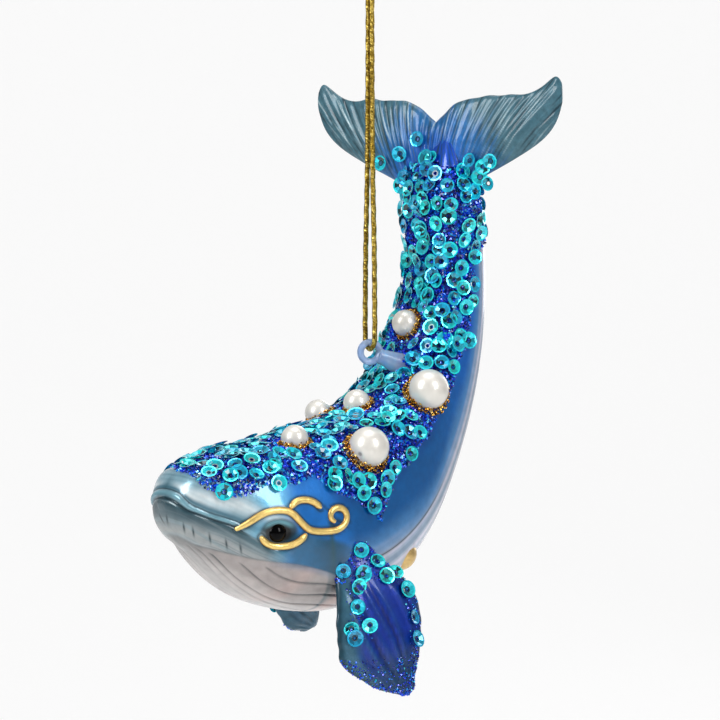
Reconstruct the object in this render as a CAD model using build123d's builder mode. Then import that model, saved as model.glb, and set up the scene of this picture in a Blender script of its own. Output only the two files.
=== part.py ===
from build123d import *
import math
import os

# A blown glass whale that hangs by a glass ring from a loop of metallic cord, set with pearls,
# cup sequins and raised gold lines. +Z is up, the snout points to -X and the whale's left side
# to -Y. The origin is the hanging point, on the underside of the knot, between the two strands.

# Cord loop and knot
CORD_DIAMETER = 1.3
RING_DROP = 88.0
STRAND_GAP_TOP = 1.46
STRAND_GAP_MIDDLE = 3.1
STRAND_GAP_RING = 3.5
CORD_MIDDLE_DROP = 41.0
CORD_WIDEST_DROP = 62.0
CORD_CLEARANCE = 0.15
ARC_SHARE = 0.45
KNOT_WRAPS = 3
KNOT_WRAP_PITCH = 1.25
KNOT_DIAMETER = 4.2
KNOT_TAIL_LENGTH = 5.0
KNOT_TAIL_SPLAY = 16.0

# Hanging ring, drawn out of the same glass, with its conical stem
RING_OUTER_DIAMETER = 6.3
RING_BAR_DIAMETER = 1.62
RING_TURN = 22.0
STEM_TIP_DIAMETER = 2.6
STEM_ROOT_DIAMETER = 5.0
STEM_LENGTH = 9.5
STEM_PITCH = -22.0

# Whale's body: the glass, its wall, and the relief that is laid over it
BODY_LENGTH = 92.8
BODY_HEIGHT = 109.2
BODY_WIDTH = 39.0
WALL = 1.2

# Each row is one cross-section, from the snout to the root of the flukes, placed from the ring's
# centre: the back's x and z, the belly's x and z, the half width, the level of the widest place
# from belly to back, and the fullness of the curve (0.55 is an ellipse, 1 is a box).
station_shares = [
    (-0.664, -0.288, -0.659, -0.310, 0.080, 0.55, 0.62),
    (-0.653, -0.269, -0.634, -0.359, 0.277, 0.58, 0.65),
    (-0.628, -0.236, -0.591, -0.393, 0.420, 0.60, 0.70),
    (-0.571, -0.219, -0.530, -0.437, 0.600, 0.60, 0.72),
    (-0.485, -0.200, -0.444, -0.492, 0.785, 0.56, 0.75),
    (-0.377, -0.190, -0.323, -0.533, 0.928, 0.52, 0.76),
    (-0.259, -0.172, -0.189, -0.542, 1.000, 0.50, 0.76),
    (-0.135, -0.147, -0.038, -0.498, 0.974, 0.50, 0.76),
    (-0.024, -0.108, 0.095, -0.405, 0.872, 0.50, 0.75),
    (0.067, -0.044, 0.196, -0.275, 0.738, 0.50, 0.75),
    (0.125, 0.037, 0.276, -0.128, 0.615, 0.50, 0.76),
    (0.164, 0.128, 0.325, 0.041, 0.528, 0.50, 0.76),
    (0.175, 0.224, 0.336, 0.188, 0.472, 0.50, 0.76),
    (0.181, 0.389, 0.282, 0.389, 0.421, 0.50, 0.76),
    (0.214, 0.458, 0.240, 0.458, 0.250, 0.50, 0.76),
]
CAVITY_FIRST_STATION = 1
CAVITY_END_STATION = 13

# Mouth line, drawn in side view from the ring's centre, and throat pleats, drawn from below
GROOVE_WIDTH = 0.8
GROOVE_DEPTH = 0.5
mouth_line_shares = [
    (-0.655, -0.282), (-0.632, -0.287), (-0.596, -0.308), (-0.528, -0.345), (-0.474, -0.392),
    (-0.377, -0.425), (-0.275, -0.462),
]
PLEAT_PITCH = 4.2
PLEAT_PAIRS = 3
# Where the middle pleat starts and ends along the body, and how much each further pair draws in
PLEAT_START_SHARE = -0.585
PLEAT_END_SHARE = -0.285
PLEAT_DRAW_IN_SHARE = 0.028
PLEAT_TOP_SHARE = -0.40

# Flukes
FLUKE_SPAN = 66.0
FLUKE_CHORD = 26.0
FLUKE_THICKNESS = 5.2
FLUKE_FULLNESS = 0.55
FLUKE_TURN = 20.0
FLUKE_CANT = 1.4
FLUKE_SEAT_X = 21.2
FLUKE_SEAT_RISE = 34.0
# Each row: distance from the middle, leading edge and trailing edge above the seat, thickness,
# and how far the blade bends towards the belly
fluke_shares = [
    (0.00, 0.000, 0.823, 1.00, 0.000),
    (0.13, 0.077, 0.915, 1.00, 0.000),
    (0.30, 0.212, 0.977, 0.85, 0.008),
    (0.50, 0.338, 1.000, 0.73, 0.023),
    (0.70, 0.469, 1.000, 0.58, 0.038),
    (0.85, 0.592, 1.069, 0.46, 0.046),
    (0.95, 0.738, 1.146, 0.35, 0.046),
    (1.00, 0.904, 1.077, 0.19, 0.046),
]

# Flippers
FLIPPER_WIDTH = 22.0
FLIPPER_THICKNESS = 6.0
FLIPPER_FULLNESS = 0.6
# Each row: distance from root to tip, reach ahead of and behind the middle line, thickness, and
# how far the middle line stands off towards the whale's middle
flipper_shares = [
    (0.00, 0.25, 0.10, 1.00, 0.05),
    (0.12, 0.33, 0.24, 1.00, 0.05),
    (0.25, 0.40, 0.40, 0.87, 0.00),
    (0.42, 0.49, 0.45, 0.73, -0.03),
    (0.55, 0.56, 0.41, 0.67, -0.03),
    (0.68, 0.60, 0.34, 0.60, -0.02),
    (0.80, 0.59, 0.25, 0.50, 0.00),
    (0.90, 0.41, 0.17, 0.40, 0.00),
    (0.97, 0.21, 0.11, 0.30, 0.00),
    (1.00, 0.05, 0.05, 0.17, 0.00),
]
# Root, tip and chord direction of each flipper, from the ring's centre; the left one hangs down,
# the right one is swept back and out
LEFT_FLIPPER_ROOT = (-18.6, -18.0, -42.5)
LEFT_FLIPPER_TIP = (-10.8, -25.0, -77.4)
LEFT_FLIPPER_YAW = -15.0
RIGHT_FLIPPER_ROOT = (-19.5, 18.0, -43.5)
RIGHT_FLIPPER_TIP = (5.2, 27.0, -67.4)
RIGHT_FLIPPER_YAW = 0.0
LEFT_FLIPPER_RISE = 0.0
RIGHT_FLIPPER_RISE = 47.0
RIGHT_FLIPPER_SWEEP = 0.50

# Pearls and the gold collars round them: place along the body, turn from the back
LARGE_PEARL_DIAMETER = 9.4
SMALL_PEARL_DIAMETER = 6.4
PEARL_LIFT_SHARE = 0.35
COLLAR_WIDTH_LARGE = 1.1
COLLAR_WIDTH_SMALL = 0.8
COLLAR_HEIGHT = 0.9
COLLAR_GAP = 0.1
side_pearl_shares = {
    "front_left": (0.481, 46),
    "rear_left": (0.636, 50),
    "front_right": (0.481, -76),
    "rear_right": (0.636, -74),
}
ridge_pearl_shares = {
    "crown": (0.405, 17),
    "shoulder": (0.532, -28),
    "saddle": (0.558, 2),
    "tail": (0.729, -3),
}

# Eyes, and the raised gold lines round them, drawn in side view from the eye's middle
EYE_DIAMETER = 5.2
EYE_SINK = 1.5
EYE_X = -40.5
EYE_RISE = -39.0
SCROLL_LENGTH = 27.0
GOLD_LINE_WIDTH = 1.2
GOLD_RELIEF = 0.7
lid_line_shares = [
    (-0.338, 0.045), (-0.262, 0.094), (-0.164, 0.160), (-0.08, 0.189), (0.004, 0.194), (0.081, 0.177),
    (0.144, 0.128), (0.20, 0.07), (0.263, 0.022), (0.354, 0.0), (0.466, -0.005), (0.564, 0.012),
    (0.627, 0.066), (0.636, 0.129), (0.599, 0.177), (0.536, 0.187), (0.487, 0.157), (0.48, 0.107),
    (0.515, 0.075),
]
lower_lid_shares = [
    (-0.15, -0.028), (-0.108, -0.072), (-0.052, -0.102), (0.025, -0.113), (0.109, -0.103),
    (0.179, -0.067), (0.228, -0.022),
]
brow_shares = [(0.095, 0.216), (0.144, 0.253), (0.214, 0.27), (0.284, 0.262), (0.34, 0.236), (0.382, 0.2)]

# Gold drop that closes the blowing hole under the belly
SEAL_DIAMETER = 8.0
SEAL_SINK = 2.6
seal_place_shares = (0.522, 136)

# Cup sequins, each on a bed of lacquer and glass grains, and the cut beads between them
SEQUIN_DIAMETER = 4.0
SEQUIN_FLOOR_DIAMETER = 2.4
SEQUIN_HEIGHT = 0.6
SEQUIN_SIDES = 6
BED_DIAMETER = 3.2
BED_HEIGHT = 0.8
BLADE_BED_HEIGHT = 0.3
BEAD_DIAMETER = 1.5
BEAD_TOP_DIAMETER = 0.9
BEAD_HEIGHT = 1.2
BEAD_SIDES = 5
BEAD_ROW_SHARE = 0.36
SEQUIN_SEAT_GAP = 0.2
SEQUIN_PITCH = 5.3
SEQUIN_SEARCH_STEPS = 400
# How far round the body from the back the sequins reach, at places along it
cover_shares = [
    (0.15, 15), (0.17, 40), (0.20, 62), (0.225, 70), (0.27, 62), (0.34, 58), (0.407, 66), (0.471, 92),
    (0.536, 84), (0.643, 74), (0.771, 86), (0.879, 100), (0.90, 180), (0.946, 180),
]
# Sequins on the flukes: distance from the middle, rise above the seat
fluke_sequin_shares = [
    (0.36, 0.37), (0.35, 0.53), (0.20, 0.70), (-0.36, 0.37), (-0.50, 0.50), (-0.25, 0.70),
]
# Sequins on each flipper: distance from root to tip, reach behind the middle line
flipper_sequin_shares = [
    (0.22, -0.26), (0.36, -0.32), (0.50, -0.33), (0.64, -0.30), (0.20, 0.02),
    (0.22, 0.28), (0.36, 0.33), (0.50, 0.31), (0.64, 0.23), (0.35, 0.04),
]
# Parts of the body that the sequins are named for, each from one place along it to the next
zone_shares = {
    "head": (0.165, 0.386), "shoulders": (0.386, 0.557), "back": (0.557, 0.75), "tail": (0.75, 0.946),
}

ring_centre = Vector(0, 0, -RING_DROP)
ring_radius = (RING_OUTER_DIAMETER - RING_BAR_DIAMETER) / 2
ring_hole_radius = RING_OUTER_DIAMETER / 2 - RING_BAR_DIAMETER


def from_ring(x, y, z):
    """A point given from the ring's centre."""
    return ring_centre + Vector(x, y, z)


def level_direction(turn, rise=0.0):
    """The direction that +X points in once it is turned about Z and then raised."""
    return Vector(1, 0, 0).rotate(Axis.Y, -rise).rotate(Axis.Z, turn)


def station(along):
    """The shares of the cross-section at a place along the body, between its two nearest rows."""
    place = along * (len(station_shares) - 1)
    index = min(int(place), len(station_shares) - 2)
    part = place - index
    return [a + (b - a) * part for a, b in zip(station_shares[index], station_shares[index + 1])]


def station_frame(row):
    """The middle of a cross-section, the direction of its back, and how far back and belly lie."""
    back = from_ring(row[0] * BODY_LENGTH, 0, row[1] * BODY_HEIGHT)
    belly = from_ring(row[2] * BODY_LENGTH, 0, row[3] * BODY_HEIGHT)
    middle = belly + (back - belly) * row[5]
    return middle, (back - middle).normalized(), (back - middle).length, (middle - belly).length


def oval_curve(ahead, behind, half_width, fullness):
    """A smooth closed curve that reaches ahead and behind along X and to both sides along Y."""
    for side in (half_width, -half_width):
        Bezier((ahead, 0), (ahead, side * fullness), (ahead * fullness, side), (0, side))
        Bezier((0, side), (-behind * fullness, side), (-behind, side * fullness), (-behind, 0))


def body_form(grow, first=0, end=len(station_shares)):
    """The closed form of the body, with its skin moved out by a distance."""
    with BuildPart() as form:
        for row in station_shares[first:end]:
            middle, back, ahead, behind = station_frame(row)
            with BuildSketch(Plane(middle, x_dir=back, z_dir=back.cross(Vector(0, 1, 0)))):
                with BuildLine():
                    oval_curve(ahead + grow, behind + grow, row[4] * BODY_WIDTH / 2 + grow, row[6])
                make_face()
        loft()
    return form.part


skin = body_form(0)
gold_skin = body_form(GOLD_RELIEF)
collar_skin = body_form(COLLAR_HEIGHT)


def outermost(form, start, direction):
    """Where a line from inside a form leaves its surface, and the normal there."""
    return form.find_intersection_points(Axis(start, direction))[-1]


def on_body(along, turn):
    """The skin's point and normal at a place along the body, turned from the back to the left."""
    middle, back, ahead, behind = station_frame(station(along))
    angle = math.radians(turn)
    return outermost(skin, middle, back * math.cos(angle) - Vector(0, 1, 0) * math.sin(angle))


# Glass body: a closed blown shell, thick and solid in the narrow tail stock
cavity = body_form(-WALL, CAVITY_FIRST_STATION, CAVITY_END_STATION)
groove_floor = body_form(-GROOVE_DEPTH)
with BuildPart() as mouth_groove:
    with BuildSketch(Plane.XZ.shift_origin(ring_centre)):
        with BuildLine() as line:
            Spline(*[(x * BODY_LENGTH, z * BODY_HEIGHT) for x, z in mouth_line_shares])
        trace(line.line, GROOVE_WIDTH)
    extrude(amount=BODY_WIDTH, both=True)
    add(groove_floor, mode=Mode.SUBTRACT)

with BuildPart() as pleat_grooves:
    with BuildSketch(Plane(from_ring(0, 0, PLEAT_TOP_SHARE * BODY_HEIGHT))):
        for pair in range(-PLEAT_PAIRS, PLEAT_PAIRS + 1):
            start = (PLEAT_START_SHARE + abs(pair) * PLEAT_DRAW_IN_SHARE) * BODY_LENGTH
            end = (PLEAT_END_SHARE - abs(pair) * PLEAT_DRAW_IN_SHARE) * BODY_LENGTH
            with Locations(((start + end) / 2, pair * PLEAT_PITCH)):
                SlotOverall(end - start, GROOVE_WIDTH)
    extrude(amount=-BODY_HEIGHT)
    add(groove_floor, mode=Mode.SUBTRACT)

with BuildPart() as glass_body:
    add(skin)
    add(mouth_groove.part, mode=Mode.SUBTRACT)
    add(pleat_grooves.part, mode=Mode.SUBTRACT)
    add(cavity, mode=Mode.SUBTRACT)


# Flukes: one blade across the end of the tail, notched in the middle
cant_axis = Axis(ring_centre, level_direction(FLUKE_TURN))
across = level_direction(90 + FLUKE_TURN).rotate(cant_axis, -FLUKE_CANT)
fluke_face = level_direction(FLUKE_TURN)
fluke_up = fluke_face.cross(across)
fluke_seat = from_ring(FLUKE_SEAT_X, 0, FLUKE_SEAT_RISE)


def fluke_middle(row, side):
    """The middle of the blade's section in a row of the table, on one side."""
    rise = (row[1] + row[2]) / 2 * FLUKE_CHORD
    out = row[0] * side * FLUKE_SPAN / 2
    return fluke_seat + across * out + fluke_up * rise + fluke_face * (row[4] * FLUKE_CHORD)


with BuildPart() as fluke_form:
    rows = [(row, 1) for row in reversed(fluke_shares)] + [(row, -1) for row in fluke_shares[1:]]
    for row, side in rows:
        half_chord = (row[2] - row[1]) / 2 * FLUKE_CHORD
        with BuildSketch(Plane(fluke_middle(row, side), x_dir=fluke_up, z_dir=across)):
            with BuildLine():
                oval_curve(half_chord, half_chord, row[3] * FLUKE_THICKNESS / 2, FLUKE_FULLNESS)
            make_face()
    loft()

with BuildPart() as tail_flukes:
    add(fluke_form.part)
    add(skin, mode=Mode.SUBTRACT)


def flipper_frame(root, tip, yaw, rise):
    """The flipper's chord direction, the normal of its face, and its root and run to the tip."""
    chord = level_direction(yaw, rise)
    run = Vector(*tip) - Vector(*root)
    face = run.cross(chord).normalized()
    return chord, face, from_ring(*root), run


def flipper_form(frame, side, lead):
    """A flipper's blade; side is where the whale's middle lies, lead scales its front edge."""
    chord, face, root, run = frame
    inward = Vector(0, side, 0)
    with BuildPart() as form:
        for place, ahead, behind, thickness, offset in flipper_shares:
            middle = root + run * place + inward * (offset * FLIPPER_WIDTH)
            trail_reach = behind * FLIPPER_WIDTH
            lead_reach = ahead * lead * FLIPPER_WIDTH
            with BuildSketch(Plane(middle, x_dir=chord, z_dir=chord.cross(face))):
                with BuildLine():
                    oval_curve(trail_reach, lead_reach, thickness * FLIPPER_THICKNESS / 2, FLIPPER_FULLNESS)
                make_face()
        loft()
    return form.part


left_frame = flipper_frame(LEFT_FLIPPER_ROOT, LEFT_FLIPPER_TIP, LEFT_FLIPPER_YAW, LEFT_FLIPPER_RISE)
right_frame = flipper_frame(RIGHT_FLIPPER_ROOT, RIGHT_FLIPPER_TIP, RIGHT_FLIPPER_YAW, RIGHT_FLIPPER_RISE)
left_flipper_form = flipper_form(left_frame, 1, 1)
right_flipper_form = flipper_form(right_frame, -1, RIGHT_FLIPPER_SWEEP)

with BuildPart() as flipper_left:
    add(left_flipper_form)
    add(skin, mode=Mode.SUBTRACT)

with BuildPart() as flipper_right:
    add(right_flipper_form)
    add(skin, mode=Mode.SUBTRACT)

# Hanging ring and its stem
ring_axis = level_direction(-90 - RING_TURN)
stem_direction = level_direction(-RING_TURN, STEM_PITCH)
stem_plane = Plane(ring_centre + stem_direction * ring_radius, z_dir=stem_direction)
with BuildPart() as hanging_ring:
    with Locations(Plane(ring_centre, z_dir=ring_axis)):
        Torus(ring_radius, RING_BAR_DIAMETER / 2)
    with Locations(stem_plane):
        stem_align = (Align.CENTER, Align.CENTER, Align.MIN)
        Cone(STEM_TIP_DIAMETER / 2, STEM_ROOT_DIAMETER / 2, STEM_LENGTH, align=stem_align)
    add(skin, mode=Mode.SUBTRACT)

# Cord: one length, down through the ring under its bar and back up to the knot
cord_turn_z = -RING_DROP + ring_hole_radius - CORD_DIAMETER / 2 - CORD_CLEARANCE
strand_points = [
    (0, STRAND_GAP_TOP / 2 - CORD_CLEARANCE / 2, 0),
    (0, STRAND_GAP_TOP / 2, -CORD_MIDDLE_DROP),
    (0, STRAND_GAP_MIDDLE / 2, -CORD_WIDEST_DROP),
    (0, STRAND_GAP_RING / 2, cord_turn_z),
]
cord_points = [(x, -y, z) for x, y, z in strand_points] + strand_points[::-1]
corners = [Vector(*point) for point in cord_points]
cord_radii = []
for before, corner, after in zip(corners, corners[1:], corners[2:]):
    shorter = min((corner - before).length, (after - corner).length)
    half_turn = math.radians((corner - before).get_angle(after - corner)) / 2
    cord_radii.append(ARC_SHARE * shorter / math.tan(half_turn))
print("cord radii:", [round(radius, 2) for radius in cord_radii])

with BuildPart() as hanging_cord:
    with BuildLine():
        cord_path = FilletPolyline(*cord_points, radius=cord_radii)
    with BuildSketch(Plane(cord_path @ 0, z_dir=cord_path % 0)):
        Circle(CORD_DIAMETER / 2)
    sweep()
tube_volume = math.pi * (CORD_DIAMETER / 2) ** 2 * cord_path.length
print("cord length:", round(cord_path.length, 1))
print("cord volume ratio:", round(hanging_cord.part.volume / tube_volume, 4))

# Knot: three wraps round both strands, with the two cut ends standing out of it
wrap_radius = (KNOT_DIAMETER - CORD_DIAMETER) / 2
with BuildPart() as cord_knot:
    with BuildSketch(Plane.XZ):
        for wrap in range(KNOT_WRAPS):
            with Locations((wrap_radius, (wrap + 0.5) * KNOT_WRAP_PITCH)):
                Circle(CORD_DIAMETER / 2)
        Rectangle(wrap_radius, KNOT_WRAPS * KNOT_WRAP_PITCH, align=(Align.MIN, Align.MIN))
    revolve(axis=Axis.Z)
    for side in (1, -1):
        tail_direction = level_direction(90 * side, 90 - KNOT_TAIL_SPLAY)
        tail_plane = Plane((0, side * STRAND_GAP_TOP / 2, 0), z_dir=tail_direction)
        with BuildSketch(tail_plane):
            Circle(CORD_DIAMETER / 2)
        extrude(amount=KNOT_WRAPS * KNOT_WRAP_PITCH + KNOT_TAIL_LENGTH)
    split(bisect_by=Plane.XY, keep=Keep.TOP)


pieces = {
    "hanging_cord": hanging_cord.part,
    "cord_knot": cord_knot.part,
    "hanging_ring": hanging_ring.part,
    "glass_body": glass_body.part,
    "tail_flukes": tail_flukes.part,
    "flipper_left": flipper_left.part,
    "flipper_right": flipper_right.part,
}


def pearl(seat, normal, diameter):
    """A pearl glued to the glass, its foot ground to the skin."""
    with BuildPart() as bead:
        with Locations(Location(seat + normal * (PEARL_LIFT_SHARE * diameter / 2))):
            Sphere(diameter / 2)
        add(skin, mode=Mode.SUBTRACT)
    return bead.part


def collar(seat, normal, diameter, width):
    """The band of gold grains that is glued round a pearl's foot."""
    with BuildPart() as band:
        with BuildSketch(Plane(seat - normal * diameter, z_dir=normal)):
            Circle(diameter / 2 + COLLAR_GAP + width)
            Circle(diameter / 2 + COLLAR_GAP, mode=Mode.SUBTRACT)
        extrude(amount=diameter + LARGE_PEARL_DIAMETER)
        add(collar_skin, mode=Mode.INTERSECT)
        add(skin, mode=Mode.SUBTRACT)
    return band.part


keep_clear = [(from_ring(0, 0, 0) + stem_direction * STEM_LENGTH, STEM_ROOT_DIAMETER / 2)]


def set_pearl(name, along, turn, diameter, width):
    """One pearl with its collar, and the room that the sequins leave round them."""
    seat, normal = on_body(along, turn)
    pieces["pearl_" + name] = pearl(seat, normal, diameter)
    pieces["gold_collar_" + name] = collar(seat, normal, diameter, width)
    keep_clear.append((seat, diameter / 2 + COLLAR_GAP + width))


for name, (along, turn) in side_pearl_shares.items():
    set_pearl(name, along, turn, LARGE_PEARL_DIAMETER, COLLAR_WIDTH_LARGE)
for name, (along, turn) in ridge_pearl_shares.items():
    set_pearl(name, along, turn, SMALL_PEARL_DIAMETER, COLLAR_WIDTH_SMALL)

# Eyes: black glass domes let into the sides of the head
eye_middle = from_ring(EYE_X, 0, EYE_RISE)
eye_seat, eye_normal = outermost(skin, eye_middle, Vector(0, -1, 0))
with BuildPart() as eye_left:
    with Locations(Location(eye_seat - eye_normal * EYE_SINK)):
        Sphere(EYE_DIAMETER / 2)
    add(skin, mode=Mode.SUBTRACT)


def gold_lines(lines):
    """Raised gold lines on the left cheek, drawn in side view from the middle of the eye."""
    with BuildPart() as relief:
        with BuildSketch(Plane.XZ.shift_origin(eye_middle)):
            for shares in lines:
                with BuildLine() as line:
                    Spline(*[(x * SCROLL_LENGTH, z * SCROLL_LENGTH) for x, z in shares])
                trace(line.line, GOLD_LINE_WIDTH)
        extrude(amount=BODY_WIDTH)
        add(gold_skin, mode=Mode.INTERSECT)
        add(skin, mode=Mode.SUBTRACT)
    return relief.part


left_cheek = {
    "eye": eye_left.part,
    "gold_eye_scroll": gold_lines([lid_line_shares, lower_lid_shares]),
    "gold_brow": gold_lines([brow_shares]),
}
for name, piece in left_cheek.items():
    pieces[name + "_left"] = piece
    pieces[name + "_right"] = mirror(piece, about=Plane.XZ)

# Seal of the blowing hole
seal_seat, seal_normal = on_body(*seal_place_shares)
with BuildPart() as belly_seal:
    with Locations(Location(seal_seat - seal_normal * SEAL_SINK)):
        Sphere(SEAL_DIAMETER / 2)
    add(skin, mode=Mode.SUBTRACT)
pieces["belly_seal"] = belly_seal.part


def bedded_sequin(bed_height):
    """One sequin, a cup that stands on the narrowed top of its bed."""
    with BuildPart() as sequin:
        for rise, diameter in (
            (0, BED_DIAMETER),
            (bed_height, SEQUIN_FLOOR_DIAMETER),
            (bed_height + SEQUIN_HEIGHT, SEQUIN_DIAMETER),
        ):
            with BuildSketch(Plane.XY.offset(rise)):
                RegularPolygon(diameter / 2, SEQUIN_SIDES)
        loft(ruled=True)
    return sequin.part


body_sequin = bedded_sequin(BED_HEIGHT)
blade_sequin = bedded_sequin(BLADE_BED_HEIGHT)
with BuildPart() as bead:
    with BuildSketch():
        RegularPolygon(BEAD_DIAMETER / 2, BEAD_SIDES)
    with BuildSketch(Plane.XY.offset(BEAD_HEIGHT)):
        RegularPolygon(BEAD_TOP_DIAMETER / 2, BEAD_SIDES)
    loft()


def covered_turn(along):
    """How far round from the back the sequins reach at a place along the body."""
    for (low, low_turn), (high, high_turn) in zip(cover_shares, cover_shares[1:]):
        if low <= along <= high:
            return low_turn + (high_turn - low_turn) * (along - low) / (high - low)
    return 0


def is_clear(seat, normal, reach):
    """Whether a trimming has room beside the flukes, the pearls, the stem and the eyes."""
    off_face = abs((seat - fluke_seat).dot(fluke_face)) - FLUKE_THICKNESS / 2
    below_seat = (fluke_seat - seat).dot(fluke_up)
    if off_face < reach * normal.cross(fluke_face).length and below_seat < reach:
        return False
    return all((seat - place).length > room + reach for place, room in keep_clear)


def sequin_rows():
    """Places along the body, one sequin pitch apart on its middle line."""
    start, end = zone_shares["head"][0], zone_shares["tail"][1]
    rows = [start]
    for step in range(SEQUIN_SEARCH_STEPS):
        along = start + (end - start) * step / SEQUIN_SEARCH_STEPS
        if (station_frame(station(along))[0] - station_frame(station(rows[-1]))[0]).length >= SEQUIN_PITCH:
            rows.append(along)
    return rows


def ring_of_seats(along, staggered, reach):
    """Seats across the back at one place along the body, to both sides, for trimmings that reach
    so far round their middles."""
    middle = station_frame(station(along))[0]
    half_step = math.degrees(SEQUIN_PITCH / (on_body(along, 0)[0] - middle).length) / 2
    seats = []
    for side in (1, -1):
        turn = half_step if staggered else 0
        while turn <= covered_turn(along):
            seat, normal = on_body(along, turn * side)
            if is_clear(seat, normal, reach) and (turn > 0 or side > 0):
                seats.append(Plane(seat + normal * SEQUIN_SEAT_GAP, z_dir=normal))
            turn += math.degrees(SEQUIN_PITCH / (seat - middle).length)
    return seats


def group(piece, seats):
    """Copies of one trimming at their seats, as separate solids of one piece."""
    with BuildPart() as copies:
        with Locations(*seats):
            add(piece)
    return copies.part


def blade_seats(form, places, outward):
    """Seats on the face of a blade, from places inside it, looking outward."""
    hits = [outermost(form, place, outward) for place in places]
    return [Plane(seat + normal * SEQUIN_SEAT_GAP, z_dir=normal) for seat, normal in hits]


for side in (1, -1):
    keep_clear.append((Vector(eye_seat.X, eye_seat.Y * side, eye_seat.Z), SCROLL_LENGTH / 4))
rows = sequin_rows()
for name, (start, end) in zone_shares.items():
    sequin_seats = []
    bead_seats = []
    for count, along in enumerate(rows):
        if start <= along < end:
            staggered = count % 2 == 1
            sequin_seats += ring_of_seats(along, staggered, SEQUIN_DIAMETER / 2)
            if count + 1 < len(rows):
                step = rows[count + 1] - along
                bead_seats += ring_of_seats(along + step * BEAD_ROW_SHARE, not staggered, BEAD_DIAMETER / 2)
    pieces["sequins_" + name] = group(body_sequin, sequin_seats)
    pieces["beads_" + name] = group(bead.part, bead_seats)

fluke_places = [
    fluke_seat + across * (out * FLUKE_SPAN / 2) + fluke_up * (rise * FLUKE_CHORD)
    for out, rise in fluke_sequin_shares
]
pieces["sequins_flukes"] = group(blade_sequin, blade_seats(fluke_form.part, fluke_places, -fluke_face))
for side_name, form, frame, lead in (
    ("left", left_flipper_form, left_frame, 1),
    ("right", right_flipper_form, right_frame, RIGHT_FLIPPER_SWEEP),
):
    chord, face, root, run = frame
    outward = face if face.Y * root.Y > 0 else -face
    places = [
        root + run * place + chord * (out * FLIPPER_WIDTH * (lead if out < 0 else 1))
        for place, out in flipper_sequin_shares
    ]
    pieces[f"sequins_flipper_{side_name}"] = group(blade_sequin, blade_seats(form, places, outward))

os.makedirs("parts", exist_ok=True)
for name, piece in pieces.items():
    piece.label = name
    export_step(piece, f"parts/{name}.step")
print("pieces:", len(pieces))
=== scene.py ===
import math

import bpy
from mathutils import Matrix, Vector
import numpy as np


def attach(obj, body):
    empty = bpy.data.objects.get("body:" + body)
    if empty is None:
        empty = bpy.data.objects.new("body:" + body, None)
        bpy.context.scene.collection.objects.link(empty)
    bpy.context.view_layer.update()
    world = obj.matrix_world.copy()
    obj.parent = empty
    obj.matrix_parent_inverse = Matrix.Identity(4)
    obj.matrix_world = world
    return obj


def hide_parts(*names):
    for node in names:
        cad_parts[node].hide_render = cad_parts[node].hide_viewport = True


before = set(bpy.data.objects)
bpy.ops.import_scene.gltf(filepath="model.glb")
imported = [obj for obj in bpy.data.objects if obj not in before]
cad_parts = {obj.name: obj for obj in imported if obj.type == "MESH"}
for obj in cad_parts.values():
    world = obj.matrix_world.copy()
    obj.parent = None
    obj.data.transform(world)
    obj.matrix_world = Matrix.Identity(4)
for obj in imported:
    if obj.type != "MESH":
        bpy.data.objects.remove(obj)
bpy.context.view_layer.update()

bl_info = {
    "name": "Hanging Glass Whale",
    "version": (1, 0, 0),
    "blender": (4, 5, 0),
    "location": "View3D > Sidebar > Whale",
    "description": "Dresses a blown glass whale ornament in lacquer, sequins, beads, pearls and cord",
    "category": "Object",
}

# Lengths are in millimetres, from the hanging point, and MM turns them into Blender's metres. The
# axes are the part's: +Z up, the snout towards -X, the whale's left side towards -Y.
MM = 0.001
RING_DROP = 88.0
RING_CENTRE = np.array([0.0, 0.0, -RING_DROP])

# Cord: the part's route, with a point on each strand where it starts to turn under the ring
CORD_DIAMETER = 1.3
STRAND_GAP_TOP = 1.46
STRAND_GAP_MIDDLE = 3.1
STRAND_GAP_RING = 3.5
CORD_MIDDLE_DROP = 41.0
CORD_WIDEST_DROP = 62.0
CORD_CLEARANCE = 0.15
CORD_TURN_RISE = 7.8
KNOT_WRAPS = 3
KNOT_WRAP_PITCH = 1.25
KNOT_DIAMETER = 4.2
KNOT_TAIL_LENGTH = 5.0
KNOT_TAIL_SPLAY = 16.0
CORD_ROWS = 620
KNOT_ROWS = 160
# Yarn: points round it, the length in which its plies turn once, and their number, turn and depth
YARN_ROUND = 15
YARN_TWIST = 4.4
YARN_LOBES = (3, YARN_TWIST, 0.08)

# Hanging ring and stem
RING_OUTER_DIAMETER = 6.3
RING_BAR_DIAMETER = 1.62
RING_TURN = -22.0
STEM_TIP_DIAMETER = 3.4
STEM_ROOT_DIAMETER = 7.0
STEM_LENGTH = 9.5
STEM_PITCH = -22.0
# Length of the stem inside the whale's back, where it is fused to it
STEM_SINK = 1.8
# Grid on which ring and stem are melted into one
RING_VOXEL = 0.16

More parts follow.
